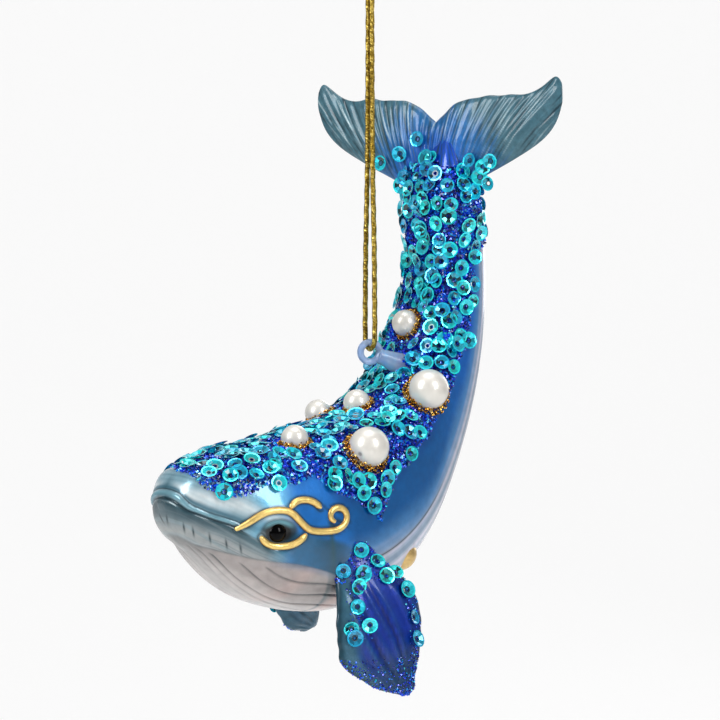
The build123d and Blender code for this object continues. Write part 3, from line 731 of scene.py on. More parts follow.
def tube_faces(rows, round_, first_pole, last_pole):
    """Faces of rings joined in order, each end closed by a fan to its pole, pointing outwards when
    the rings run anticlockwise as seen from the last."""
    index = np.arange(rows * round_).reshape(rows, round_)
    turned = np.roll(index, -1, axis=1)
    quads = np.stack([index[:-1], turned[:-1], turned[1:], index[1:]], axis=-1).reshape(-1, 4).tolist()
    first = np.stack([np.full(round_, first_pole), turned[0], index[0]], axis=-1).tolist()
    last = np.stack([np.full(round_, last_pole), index[-1], turned[-1]], axis=-1).tolist()
    return quads + first + last


def closed_rings(rings, first=None, last=None):
    """Points and faces of a closed skin over rings, turned so that its faces point outwards."""
    rows, round_ = rings.shape[:2]
    first = rings[0].mean(axis=0) if first is None else first
    last = rings[-1].mean(axis=0) if last is None else last
    run = np.gradient(rings, axis=0)
    across = np.roll(rings, -1, axis=1) - rings
    outward = rings - rings.mean(axis=1, keepdims=True)
    flipped = np.sum(np.cross(across, run) * outward) < 0
    points = np.concatenate([rings.reshape(-1, 3), [first, last]])
    faces = tube_faces(rows, round_, rows * round_, rows * round_ + 1)
    return points, [face[::-1] for face in faces] if flipped else faces


def with_caps(rings, first_reach, last_reach, count=6):
    """Rings with a rounded cap at both ends: a quarter ellipse from the end ring to a point."""
    turn = np.linspace(0, math.pi / 2, count + 2)[1:-1]

    def cap(ring, inner, reach):
        """Rings from an end ring to its pole, away from the ring inside it."""
        middle = ring.mean(axis=0)
        outward = unit(middle - inner.mean(axis=0))
        drawn_in = (ring - middle) * np.cos(turn)[:, None, None]
        rounds = middle + drawn_in + outward * (reach * np.sin(turn))[:, None, None]
        return rounds, middle + outward * reach

    first, first_pole = cap(rings[0], rings[1], first_reach)
    last, last_pole = cap(rings[-1], rings[-2], last_reach)
    return np.concatenate([first[::-1], rings, last]), first_pole, last_pole, count


def sweep_rings(path, reference, across, tall, round_, lobes=None):
    """Rings along a path: an ellipse spanned by the reference direction and the one across it. Its
    radius may be waved by lobes, given as their number, the length in which they turn once and
    their depth."""
    run = unit(np.gradient(path, axis=0))
    out = unit(reference - run * np.sum(run * reference, axis=1, keepdims=True))
    side = np.cross(run, out)
    length = lengths_along(path)
    angle = np.arange(round_)[None, :] * 2 * math.pi / round_
    wave = 1.0
    if lobes:
        count, twist, depth = lobes
        wave = 1 + depth * (np.cos(count * angle - 2 * math.pi * length[:, None] / twist) - 1)
    across, tall = (np.broadcast_to(np.asarray(item, float), len(path))[:, None] for item in (across, tall))
    rings = (across * np.cos(angle) * wave)[..., None] * side[:, None]
    rings = rings + (tall * np.sin(angle) * wave)[..., None] * out[:, None]
    return path[:, None] + rings, length


def joined(parts):
    """Points, faces and a value for each point of several shapes, put into one mesh's lists."""
    starts = np.cumsum([0] + [len(part[0]) for part in parts]).tolist()
    faces = [[corner + start for corner in face] for part, start in zip(parts, starts) for face in part[1]]
    return np.concatenate([part[0] for part in parts]), faces, np.concatenate([part[2] for part in parts])


def scatter(shape, faces, places, turns, sizes):
    """Copies of a small shape: each is scaled, turned by its matrix and moved to its place."""
    points = np.einsum("nij,nkj->nki", turns, shape[None] * sizes[:, None, :]) + places[:, None]
    starts = (np.arange(len(places)) * len(shape)).tolist()
    return points.reshape(-1, 3), [[corner + start for corner in face] for start in starts for face in faces]


def tumbled(pick, count):
    """Turns that leave grains lying every way up."""
    return frames_on(unit(pick.normal(0, 1, (count, 3))), pick.uniform(0, 6.28, count))


def frames_on(normals, spin):
    """Turns that bring +Z onto each normal after a spin about it."""
    helper = np.where(np.abs(normals[:, [0]]) < 0.8, [[1.0, 0, 0]], [[0, 1.0, 0]])
    first = unit(np.cross(helper, normals))
    second = np.cross(normals, first)
    turned = first * np.cos(spin)[:, None] + second * np.sin(spin)[:, None]
    return np.stack([turned, np.cross(normals, turned), normals], axis=2)


def sphere_rings(centre, radius, pole, rows, round_):
    """A ball as rings from one pole to the other, with the directions they lie in."""
    turn = np.linspace(0, math.pi, rows + 2)[1:-1, None]
    angle = np.arange(round_)[None, :] * 2 * math.pi / round_
    turned = frames_on(unit(np.asarray(pole, float))[None], np.zeros(1))[0]
    ball = [np.sin(turn) * np.cos(angle), np.sin(turn) * np.sin(angle), np.cos(turn) + 0 * angle]
    return centre + radius * np.stack(ball, axis=-1) @ turned.T, turn


# Materials


def add(material, kind, inputs=None, **settings):
    """Adds a node with its settings, and gives its sockets values or links."""
    made = material.node_tree.nodes.new(kind)
    for name, value in settings.items():
        setattr(made, name, value)
    for name, value in (inputs or {}).items():
        if isinstance(value, bpy.types.NodeSocket):
            material.node_tree.links.new(value, made.inputs[name])
        else:
            made.inputs[name].default_value = value
    return made


def surface(name, **constants):
    """A new material with one principled surface and its constant sockets."""
    material = bpy.data.materials.new(name)
    material.use_nodes = True
    shader = material.node_tree.nodes["Principled BSDF"]
    for socket, value in constants.items():
        shader.inputs[socket.replace("_", " ")].default_value = value
    return material, shader


def link(material, output, socket):
    """Joins a node's output to a socket."""
    material.node_tree.links.new(output, socket)


def dyed(material, shader):
    """Takes the colour straight from the painted attribute."""
    attribute = add(material, "ShaderNodeAttribute", attribute_name="paint")
    link(material, attribute.outputs["Color"], shader.inputs["Base Color"])
    return material


def noise_at(material, coordinates, size, detail):
    """Noise in the object's own space, its grain size in millimetres."""
    values = {"Vector": coordinates.outputs["Object"], "Scale": 1 / (size * MM), "Detail": detail}
    return add(material, "ShaderNodeTexNoise", values)


def painted(material, shader, grain, strength):
    """Takes the colour from the painted attribute and lets a fine grain lighten and darken it."""
    attribute = add(material, "ShaderNodeAttribute", attribute_name="paint")
    coordinates = add(material, "ShaderNodeTexCoord")
    noise = noise_at(material, coordinates, grain, 4.0)
    limits = {"From Min": 0.3, "From Max": 0.7, "To Min": 1 - strength, "To Max": 1 + strength}
    ramp = add(material, "ShaderNodeMapRange", {"Value": noise.outputs["Fac"], **limits})
    both = {0: attribute.outputs["Color"], 1: ramp.outputs["Result"]}
    shade = add(material, "ShaderNodeVectorMath", both, operation="MULTIPLY")
    link(material, shade.outputs[0], shader.inputs["Base Color"])
    return coordinates, noise


def bumped(material, shader, height, depth):
    """Raises the surface by a node's value times a depth in millimetres."""
    bump = add(material, "ShaderNodeBump", {"Height": height, "Distance": depth * MM, "Strength": 1.0})
    link(material, bump.outputs[0], shader.inputs["Normal"])


def seen_straight(material):
    """One where the camera sees the surface directly or through glass, and 0 elsewhere."""
    path = add(material, "ShaderNodeLightPath")
    rays = {0: path.outputs["Is Camera Ray"], 1: path.outputs["Is Transmission Ray"]}
    return add(material, "ShaderNodeMath", rays, operation="MAXIMUM").outputs[0]


def lacquered_glass(name, grain, strength, metal=0.30, rough=0.30, coat=0.8):
    """Blown glass, silvered inside and sprayed with clear coloured lacquer: a metallic depth under
    a hard gloss, with the soft unevenness of hand spraying."""
    material, shader = surface(
        name, Metallic=metal, Roughness=rough, Coat_Weight=coat, Coat_Roughness=0.06, Specular_IOR_Level=0.3
    )
    coordinates, _ = painted(material, shader, grain, strength)
    fine = noise_at(material, coordinates, 0.9, 3.0)
    bumped(material, shader, fine.outputs["Fac"], 0.05)
    return material


def sequin_film():
    """PET film, vacuum metallised and dyed turquoise, pressed into faceted cups: half mirror, half dye."""
    return dyed(*surface(
        "metallised_pet_film", Metallic=0.45, Roughness=0.16, Coat_Weight=1.0, Coat_Roughness=0.03
    ))


def cut_glass_beads():
    """Crushed and cut glass with a dyed silver lining: each face flashes on its own."""
    return dyed(*surface(
        "silver_lined_glass_beads", Metallic=0.35, Roughness=0.12, Coat_Weight=1.0, Coat_Roughness=0.02
    ))


def imitation_pearl():
    """Plastic bead dipped in pearl lacquer: creamy, with a soft deep gloss and a drilled hole."""
    material, shader = surface(
        "pearl_lacquered_bead", Metallic=0.25, Roughness=0.36, Coat_Weight=0.8, Coat_Roughness=0.2
    )
    painted(material, shader, 3.2, 0.05)
    return material


def gold_grains():
    """Gold-coloured glass microbeads in lacquer, metallic and bright on each face, one tone to a grain: the
    brown grains are painted shade, the palest painted glints.
    """
    return dyed(*surface("gold_microbeads", Metallic=1.0, Roughness=0.22))


def gold_relief_paint():
    """Thick gold enamel drawn from a bottle: satin and a little uneven; on the raised lines its colour holds
    a painted highlight along the crest and painted shade down the sides.
    """
    material, shader = surface(
        "gold_relief_enamel", Metallic=0.75, Roughness=0.34, Coat_Weight=0.4, Coat_Roughness=0.15
    )
    _, noise = painted(material, shader, 1.1, 0.12)
    bumped(material, shader, noise.outputs["Fac"], 0.12)
    return material


def black_glass():
    """Solid black glass, fire polished to a wet gloss."""
    material, shader = surface("black_glass", Roughness=0.03, IOR=1.2)
    shader.inputs["Base Color"].default_value = opaque("#010102")
    return material


def frosted_glass():
    """Clear glass drawn out by hand and left satin by the flame, blue from the lacquer mist."""
    material, shader = surface(
        "satin_drawn_glass", Roughness=0.32, IOR=1.5, Transmission_Weight=0.55, Coat_Weight=0.5,
        Coat_Roughness=0.12,
    )
    noise = noise_at(material, add(material, "ShaderNodeTexCoord"), 1.8, 2.0)
    tint = add(material, "ShaderNodeMix", {"Factor": noise.outputs["Fac"]}, data_type="RGBA")
    tint.inputs[6].default_value = opaque("#c6d6f0")
    tint.inputs[7].default_value = opaque("#7aa4dc")
    link(material, tint.outputs[2], shader.inputs["Base Color"])
    bumped(material, shader, noise.outputs["Fac"], 0.08)
    return material


def metallic_yarn():
    """Metallised film cut into fine strips and twisted round a core: olive gold, with each strip
    flashing or dark by turns. The strips are drawn at about 0.4 mm, coarser than life, to show."""
    material, shader = surface("metallised_twisted_yarn", Metallic=0.9, Roughness=0.34)
    run = add(material, "ShaderNodeUVMap", uv_map="run")
    slanted = add(material, "ShaderNodeMapping", {"Vector": run.outputs[0], "Scale": (6.0, 2.6, 1.0)})
    cells = {"Vector": slanted.outputs[0], "Scale": 1.0}
    strips = add(material, "ShaderNodeTexVoronoi", cells, voronoi_dimensions="2D")
    ramp = add(material, "ShaderNodeValToRGB", {"Fac": strips.outputs["Color"]})
    elements = ramp.color_ramp.elements
    # Painted light on the strips: dark brown painted shade, pale gold painted highlight, olive gold between
    elements[0].color = opaque("#4a3a10")
    elements[1].color = opaque("#e8cf70")
    elements.new(0.5).color = opaque("#9a7d28")
    link(material, ramp.outputs["Color"], shader.inputs["Base Color"])
    bumped(material, shader, strips.outputs["Distance"], 0.12)
    return material


def studio_paper(name, colour, share):
    """Seamless studio paper, matt and white. Seen by the camera, directly or through glass, it is
    white by a share, and the rest keeps the shadows."""
    material, shader = surface(name, Roughness=0.9)
    shader.inputs["Base Color"].default_value = opaque(colour)
    kept = add(material, "ShaderNodeMath", {0: seen_straight(material), 1: share}, operation="MULTIPLY")
    white = add(material, "ShaderNodeEmission", {"Color": (1, 1, 1, 1), "Strength": 1.0})
    shaders = {0: kept.outputs[0], 1: shader.outputs[0], 2: white.outputs[0]}
    both = add(material, "ShaderNodeMixShader", shaders)
    link(material, both.outputs[0], material.node_tree.nodes["Material Output"].inputs["Surface"])
    return material


# Pieces


class WHALE_OT_stage(bpy.types.Operator):
    """Sets the camera, soft lamps and white studio paper"""

    bl_idname = "whale.stage"
    bl_label = "Stage"

    def lamp(self, name, aim, offset, size, power):
        """An area lamp, in metres and watts, that stands off its aim and faces it."""
        data = bpy.data.lights.new(name, "AREA")
        data.shape = "RECTANGLE"
        data.size, data.size_y = size
        data.energy = power
        data.spread = 3.14
        lamp = bpy.data.objects.new(name, data)
        bpy.context.scene.collection.objects.link(lamp)
        lamp.location = aim + offset
        lamp.rotation_euler = (aim - lamp.location).to_track_quat("-Z", "Y").to_euler()

    def execute(self, context):
        scene = context.scene
        right, up, back = picture_axes()
        middle = PHOTO_SIDE / 2
        aside, above = (RING_PIXEL[0] - middle) * PHOTO_SCALE, (middle - RING_PIXEL[1]) * PHOTO_SCALE
        target = RING_CENTRE - right * aside - up * above
        data = bpy.data.cameras.new("camera")
        data.sensor_width = SENSOR_WIDTH
        data.lens = SENSOR_WIDTH * CAMERA_DISTANCE / (PHOTO_SIDE * PHOTO_SCALE)
        data.clip_start = 0.01
        camera = bpy.data.objects.new("camera", data)
        scene.collection.objects.link(camera)
        turned = Matrix(np.stack([right, up, back], axis=1)).to_4x4()
        camera.matrix_world = Matrix.Translation(Vector((target + back * CAMERA_DISTANCE) * MM)) @ turned
        scene.camera = camera

        for name, (toward, aside, above), size, power in lamps:
            offset = Vector(back) * toward + Vector(right) * aside + Vector((0, 0, above))
            self.lamp(name, Vector(RING_CENTRE * MM), offset, size, power)

        world = bpy.data.worlds.new("studio_air")
        world.use_nodes = True
        scene.world = world
        seen = seen_straight(world)
        strength = add(world, "ShaderNodeMapRange", {"Value": seen, "To Min": AIR_STRENGTH, "To Max": 1.0})
        air = world.node_tree.nodes["Background"]
        air.inputs["Color"].default_value = (1, 1, 1, 1)
        link(world, strength.outputs["Result"], air.inputs["Strength"])

        line = curve_through(paper_profile, PAPER_ROWS)[:, None]
        width = np.array([-PAPER_WIDTH / 2, PAPER_WIDTH / 2])[None, :, None]
        grid = line[..., [0]] * (-back * [1, 1, 0]) + right * width + line[..., [1]] * [0, 0, 1]
        index = np.arange(2 * PAPER_ROWS).reshape(PAPER_ROWS, 2)
        faces = np.stack([index[:-1, 0], index[:-1, 1], index[1:, 1], index[1:, 0]], axis=1).tolist()
        white = studio_paper("studio_paper", "#f4f4f4", 0.86)
        paper = mesh_piece("studio_paper", grid / MM, faces, white, body=None)
        return {"FINISHED"}


def cord_route():
    """The part's route for the cord, as control points from the knot, under the ring and back."""
    hole = RING_OUTER_DIAMETER / 2 - RING_BAR_DIAMETER
    turn = -RING_DROP + hole - CORD_DIAMETER / 2 - CORD_CLEARANCE
    strand = [
        (0, STRAND_GAP_TOP / 2 - CORD_CLEARANCE / 2, 0),
        (0, STRAND_GAP_TOP / 2, -CORD_MIDDLE_DROP),
        (0, STRAND_GAP_MIDDLE / 2, -CORD_WIDEST_DROP),
        (0, STRAND_GAP_RING / 2, turn + CORD_TURN_RISE),
        (0, STRAND_GAP_RING / 2, turn),
    ]
    return [(x, -y, z) for x, y, z in strand] + strand[::-1]


def twisted_yarn(path, reference):
    """A length of twisted cord along a path: a tube whose plies turn once in each twist. Its UV is
    the share of the way round the plies and the length in millimetres."""
    rings, length = sweep_rings(path, reference, CORD_DIAMETER / 2, CORD_DIAMETER / 2, YARN_ROUND, YARN_LOBES)
    points, faces = closed_rings(rings)
    around = np.broadcast_to(np.arange(YARN_ROUND) / YARN_ROUND, rings.shape[:2])
    plies = around - length[:, None] / YARN_TWIST
    uv = np.stack([plies, np.broadcast_to(length[:, None], rings.shape[:2])], axis=-1).reshape(-1, 2)
    return points, faces, np.concatenate([uv, uv[:1], uv[-1:]])


class WHALE_OT_cord(bpy.types.Operator):
    """Makes the hanging cord along one smooth spline, and its knot"""

    bl_idname = "whale.cord"
    bl_label = "Cord and knot"

    def execute(self, context):
        material = metallic_yarn()
        route = cord_route()
        curve = bpy.data.curves.new("cord_line", "CURVE")
        curve.dimensions = "3D"
        curve.resolution_u = 40
        spline = curve.splines.new("NURBS")
        spline.points.add(len(route) - 1)
        weighted = np.concatenate([np.array(route) * MM, np.ones((len(route), 1))], axis=1)
        spline.points.foreach_set("co", weighted.ravel())
        spline.order_u = 3
        spline.use_endpoint_u = True
        line = bpy.data.objects.new("cord_line", curve)
        traced = bpy.data.meshes.new_from_object(line)
        path = np.zeros(len(traced.vertices) * 3)
        traced.vertices.foreach_get("co", path)
        path = path.reshape(-1, 3) / MM
        bpy.data.objects.remove(line)
        steps = lengths_along(path)
        evenly = np.linspace(0, steps[-1], CORD_ROWS)
        path = np.stack([np.interp(evenly, steps, path[:, axis]) for axis in range(3)], axis=1)
        points, faces, uv = twisted_yarn(path, np.tile([1.0, 0, 0], (len(path), 1)))
        cord = mesh_piece("twisted_cord", points, faces, material, body="cord", uv=uv)
        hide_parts("hanging_cord")

        wrap = (KNOT_DIAMETER - CORD_DIAMETER) / 2
        angle = np.linspace(0, KNOT_WRAPS * 2 * math.pi, KNOT_ROWS)
        rise = np.linspace(CORD_DIAMETER / 2, KNOT_WRAPS * KNOT_WRAP_PITCH + CORD_DIAMETER / 4, KNOT_ROWS)
        drawn_in = 0.45 * (1 - ease(angle, 0, 0.8)) + 0.45 * ease(angle, angle[-1] - 0.8, angle[-1])
        radius = wrap * (1 - drawn_in)
        helix = np.stack([radius * np.cos(angle), radius * np.sin(angle), rise], axis=1)
        lengths = [(helix, helix * [1, 1, 0])]
        for side in (1, -1):
            direction = level_direction(90 * side, 90 - KNOT_TAIL_SPLAY)
            reach = np.linspace(0, KNOT_WRAPS * KNOT_WRAP_PITCH + KNOT_TAIL_LENGTH - 0.3, 40)
            tail = np.array([0, side * STRAND_GAP_TOP / 2, 0.2]) + reach[:, None] * direction
            lengths.append((tail, np.tile([1.0, 0, 0], (len(tail), 1))))
        points, faces, uv = joined([twisted_yarn(*length) for length in lengths])
        knot = mesh_piece("tied_knot", points, faces, material, body="cord", uv=uv)
        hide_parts("cord_knot")
        return {"FINISHED"}


class WHALE_OT_ring(bpy.types.Operator):
    """Makes the glass hanging ring and its stem, fused into one"""

    bl_idname = "whale.ring"
    bl_label = "Hanging ring"

    def execute(self, context):
        bar = RING_BAR_DIAMETER / 2
        radius = RING_OUTER_DIAMETER / 2 - bar
        side = level_direction(RING_TURN)
        angle = np.linspace(0, 2 * math.pi, 97)
        circle = RING_CENTRE + radius * (np.cos(angle)[:, None] * side + np.sin(angle)[:, None] * [0, 0, 1])
        rings, _ = sweep_rings(circle, circle - RING_CENTRE, bar, bar, 24)
        ring_points, ring_faces = closed_rings(rings)
        stem = level_direction(RING_TURN, STEM_PITCH)
        reach = np.linspace(0, STEM_LENGTH + STEM_SINK, 40)
        flare = np.minimum(reach / STEM_LENGTH, 1) ** 1.2
        thick = STEM_TIP_DIAMETER / 2 + (STEM_ROOT_DIAMETER - STEM_TIP_DIAMETER) / 2 * flare
        path = RING_CENTRE + (radius + reach[:, None] - 0.2) * stem
        rings, _ = sweep_rings(path, np.tile([0.0, 0, 1], (40, 1)), thick, thick, 32)
        stem_points, stem_faces = closed_rings(rings)
        faces = ring_faces + [[corner + len(ring_points) for corner in face] for face in stem_faces]
        points = np.concatenate([ring_points, stem_points])
        ring = mesh_piece("drawn_glass_ring", points, faces, frosted_glass())
        fuse = ring.modifiers.new("fuse", "REMESH")
        fuse.mode = "VOXEL"
        fuse.voxel_size = RING_VOXEL * MM
        fuse.use_smooth_shade = True
        flow = ring.modifiers.new("flow", "SMOOTH")
        flow.factor = 0.5
        flow.iterations = 6
        melted = bpy.data.meshes.new_from_object(ring.evaluated_get(context.evaluated_depsgraph_get()))
        ring.modifiers.clear()
        ring.data = melted
        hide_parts("hanging_ring")
        return {"FINISHED"}


class WHALE_OT_body(bpy.types.Operator):
    """Makes the body with its face, throat and painted lacquer"""

    bl_idname = "whale.body"
    bl_label = "Body"

    def flank(self, paint, along, girth):
        """Royal under the sequins, blue on the side, silvered and streaked at the belly, and at the
        tail's end the colours of the flukes."""
        wander = 0.03 * ripple(along, 31, 8, 30) + 0.02 * ripple(girth * 9 + along * 25, 32, 0.6, 2)
        silver = ease(girth + 0.6 * wander, 0.57, 0.66)
        streaks = ripple(girth * 60 + 1.5 * ripple(along, 33, 5, 12), 34, 0.6, 2.0)
        stripe = ridge(girth - 0.622 - 0.05 * (0.55 - along), 0.0045)
        stripe = stripe * ease(along, 0.44, 0.47) * (1 - ease(along, 0.56, 0.62))
        side = layered(paint.flank, (paint.tail, ease(along, 0.58, 0.82)))
        strands = layered("#0048b8", ("#12405a", ease(ripple(girth * 90, 65, 0.6, 2.5), -0.1, 0.8)))
        return layered(
            paint.back,
            (side, ease(girth + wander, 0.30, 0.44)),
            (paint.shade, ease(girth + wander, 0.50, 0.60)),
            ("#a3b2c6", silver),
            (paint.belly, silver * ease(streaks, -0.1, 0.6)),
            ("#6d8aa6", 0.7 * silver * ease(-streaks, 0.3, 0.9)),
            (paint.ink, 0.9 * stripe),
            (strands, ease(along, 0.905, 0.945)),
        )

    def crown(self, paint, x, z, across):
        """Pale brushed lacquer with a painted highlight over the rim and painted shade at the snout's front,
        bluer towards the eye.
        """
        brushed = ripple(x * 2.2 + z * 3.4, 45, 0.5, 1.5)
        # Painted highlight: shine is a pale band along the crown over the rim
        shine = ridge(over_mouth - 4.0 - 0.12 * (x + 55), 1.5) * ease(across, -46, -41)
        return layered(
            paint.crown,
            ("#3f7388", 0.55 * ease(brushed, -0.2, 0.7)),
            ("#eef7f9", (0.75 + 0.25 * brushed).clip(0, 1) * shine),
            ("#2f6478", 0.85 * ridge(over_mouth - rim_height(x) - 0.6, 0.6)),
            # Painted shade: darker towards the snout's front as seen in the picture
            ("#33606f", 0.75 * (1 - ease(across, -46.5, -44))),
            ("#5aa0c0", ease(x, -49, -43) * (1 - 0.7 * shine)),
            ("#1272c8", ease(x, -41, -35)),
        )

    def lip(self, x, z):
        """Grey between the mouth and the lip's lower edge, with painted shade under the mouth, and worn
        lines.
        """
        worn = ridge(ripple(over_mouth * 3.2 + 0.1 * x, 47, 0.6, 1.4) - 0.4, 0.25) * ease(x, -57, -50)
        return layered(
            "#969c9d",
            # Painted shade under the mouth line, where the upper lip overhangs
            ("#3f5f6b", ease(over_mouth, -4.0, -0.8)),
            ("#7f9298", 0.6 * ease(ripple(x * 1.6 + z * 2.4, 46, 0.5, 1.5), 0.2, 0.8)),
            ("#40606c", 0.5 * worn),
        )

    def throat(self, paint, x, z):
        """Warm grey, mottled pale and pink, with painted shade at the chin and towards the belly's middle."""
        blush = ridge(ripple(x * 0.5 - z * 0.4, 44, 0.4, 1.2) - 0.6, 0.35) * ease(x, -56, -48)
        under_lip = 1 - ease(body_lip_share * body_way, 0.2, 2.0)
        return layered(
            paint.throat,
            ("#c2bcba", 0.7 * ease(ripple(x * 0.35 + z * 0.6, 41, 0.5, 1.5), 0.1, 0.8)),
            ("#d8a79b", 0.35 * blush),
            # Painted shade at the chin and towards the belly's middle
            ("#75797a", 0.75 * (1 - ease(x, -58, -48)) + 0.3 * ease(body_lip_share, 0.6, 1.0)),
            (paint.cheek, 0.4 * under_lip * ease(x, -44, -36)),
        )

    def eye_socket(self, colour, x, y, z):
        """A dark almond round the eye with a lit upper edge and a spark in its front corner."""
        eye, _ = on_cheek([(0.0, 0.0)])
        aside, above = x - eye[0, 0], z - eye[0, 2] - RING_DROP
        elsewhere = 10 * (y < 8)
        round_eye = np.hypot(aside / 5.0, (above - 0.5) / 3.3)
        lit = ridge(round_eye - 0.62, 0.14) * ease(above, 0.8, 2.2)
        return layered(
            colour,
            ("#0b2a34", 0.95 * (1 - ease(round_eye + elsewhere, 0.72, 1.0))),
            ("#020406", 1 - ease(np.hypot(aside / 3.3, above / 2.5) + elsewhere, 0.8, 1.05)),
            ("#6fb4c4", 0.7 * lit * (y > 8)),
            ("#c3dde4", 0.8 * ridge(np.hypot(aside + 3.9, above + 0.6) + elsewhere, 0.8)),
        )

    def inked(self, x, y, z, across, pale_back):
        """Share of ink: the mouth and the rim over it, the pleats, the ticks on the lip, and a thin shade
        beside the gold lines; also a wide painted shade just under the mouth."""
        ink = 0.95 * ridge(over_mouth + 0.05, 0.34) + 0.8 * ridge(over_mouth - rim_height(x), 0.2)
        # The wide faint band just under the mouth line is painted shade under the upper lip
        ink = np.maximum(at_mouth * ink, at_mouth * 0.5 * ridge(over_mouth + 1.0, 0.8))
        ink = np.maximum(ink, 0.35 * at_lip * ridge(over_lip, 0.2))
        ink = np.maximum(ink, 0.85 * body_pleats * (0.65 + 0.35 * ripple(x, 51, 0.2, 0.9)) * pale_back)
        for place, height in tick_places:
            lean = 0.12 * (z - height)
            stroke = ridge(across - place + lean, TICK_WIDTH) * ridge((z - height) * 2 / TICK_LENGTH, 0.9)
            ink = np.maximum(ink, stroke * (over_mouth < -0.8))
        for shares in (lid_line_shares, lower_lid_shares, brow_shares):
            line, _ = on_cheek(shares, 60)
            off = distance_to(np.stack([x, -y, body_points[..., 2]], -1), line)
            ink = np.maximum(ink, 0.9 * ridge(off - GOLD_LINE_WIDTH / 2 - 0.25, 0.3))
        return np.clip(ink, 0, 1)

    def execute(self, context):
        paint = context.scene.whale_paint
        right, _, _ = picture_axes()
        x, y, z = body_points[..., 0], np.abs(body_points[..., 1]), body_points[..., 2] + RING_DROP
        along, girth = body_along + 0 * body_girth, body_girth
        across = right[0] * x + abs(right[1]) * y
        behind_eye = ease(x + 0.35 * (z + 39), -43, -38) * (1 - ease(over_lip, 6.0, 8.0))
        rim = ridge((over_mouth - rim_height(x) / 2) / rim_height(x), 0.27) * at_mouth
        # Painted shade: a dark stripe down the throat in front of the flipper's root
        flipper_root_shade = ridge(x + 27.2 + 0.09 * (z + 40), 0.6) * (1 - ease(z, -36, -33))
        face = layered(
            self.crown(paint, x, z, across),
            (paint.cheek, behind_eye),
            ("#164f70", behind_eye * ease(x, -34, -27)),
            (self.lip(x, z), (1 - ease(over_mouth, -0.3, 0.2)) * (1 - ease(x, -44, -36))),
            ("#6fa0ae", 0.8 * rim),
            (self.throat(paint, x, z), 1 - ease(over_lip, -0.25, 0.2)),
            ("#24505c", 0.85 * flipper_root_shade),
        )
        head = 1 - ease(x + 0.25 * (z + 40), -27, -19)
        pale_back = (1 - ease(over_lip, -0.8, 0.8)) * head + (1 - head) * ease(girth, 0.72, 0.84)
        colour = self.eye_socket(mix(self.flank(paint, along, girth), face, head), x, y, z)
        colour = mix(colour, paint.ink, self.inked(x, y, z, across, pale_back))

        rings, first, last, count = with_caps(body_points, SNOUT_CAP, ROOT_CAP)
        colours = np.concatenate([np.repeat(colour[:1], count, 0), colour, np.repeat(colour[-1:], count, 0)])
        points, faces = closed_rings(rings, first, last)
        colours = np.concatenate([colours.reshape(-1, 3), [colour[0].mean(0), colour[-1].mean(0)]])
        glass = lacquered_glass("silvered_lacquered_glass", 2.2, 0.10)
        body = mesh_piece("painted_glass_body", points, faces, glass, colours=colours)
        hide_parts("glass_body")
        return {"FINISHED"}


class WHALE_OT_flukes(bpy.types.Operator):
    """Makes the ridged tail flukes"""

    bl_idname = "whale.flukes"
    bl_label = "Flukes"

    def execute(self, context):
        paint = context.scene.whale_paint
        rings, fan, rise, out, folds = fluke_grid(FLUKE_ROWS, FLUKE_ROUND)
        middle = ridge(np.hypot(out * 1.35, np.maximum(rise - 0.30, 0) * 1.05), 0.62)
        grain = ripple(fan + 0.01 * ripple(rise * 3, 64, 1, 3), 63, 120, 320)
        pale = ease(0.6 * folds + 0.8 * grain, 0.35, 0.95) * ease(rise, 0.2, 0.55)
        dark = ease(-0.9 * folds + 0.7 * grain, 0.3, 0.8) * ease(rise, 0.1, 0.4)
        colour = layered(
            paint.fluke,
            ("#35606f", ease(ripple(fan * 3 + rise * 4, 61, 1, 6), 0, 1)),
            ("#14609c", ease(middle + 0.15 * folds, 0.15, 0.5)),
            ("#045cb8", ease(middle + 0.12 * folds, 0.5, 0.85)),
            ("#0048ac", ease(middle, 0.9, 1.0) * (1 - ease(rise, 0.25, 0.45))),
            (paint.streak, 0.7 * pale * (1 - 0.6 * ease(middle, 0.3, 0.9))),
            ("#12303c", 0.9 * dark * (1 - 0.6 * middle)),
        )
        glass = lacquered_glass("streaked_lacquered_glass", 1.4, 0.2, 0.15, 0.42, 0.5)
        flukes = mesh_piece("ridged_flukes", *closed_rings(rings), glass, colours=with_poles(colour))
        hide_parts("tail_flukes")
        return {"FINISHED"}


class WHALE_OT_flippers(bpy.types.Operator):
    """Makes the two ridged flippers"""

    bl_idname = "whale.flippers"
    bl_label = "Flippers"

    def execute(self, context):
        paint = context.scene.whale_paint
        material = lacquered_glass("deep_blue_lacquered_glass", 1.6, 0.18, 0.25, 0.34, 0.35)
        for side in flippers:
            rings, place, share, folds, _ = flipper_grid(side, FLIPPER_ROWS, FLIPPER_ROUND)
            colour = layered(
                paint.royal,
                ("#00347c", ease(folds, -0.2, 0.8)),
                ("#00144a", 0.8 * ease(-folds, 0.3, 0.9)),
                ("#1d5a90", 0.6 * ease(folds, 0.55, 1.0) * ease(place, 0.25, 0.6)),
                ("#3a6878", 0.9 * ease(-share, 0.5, 0.8)),
                ("#123644", 0.9 * ease(np.abs(share), 0.86, 0.97)),
                ("#1f4058", 0.8 * ease(place + 0.12 * share, 0.62, 0.90)),
                ("#2a5468", 0.92 * (side == "right") + 0 * place),
            )
            name = "ridged_flipper_" + side
            flipper = mesh_piece(name, *closed_rings(rings), material, colours=with_poles(colour))
            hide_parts("flipper_" + side)
        return {"FINISHED"}


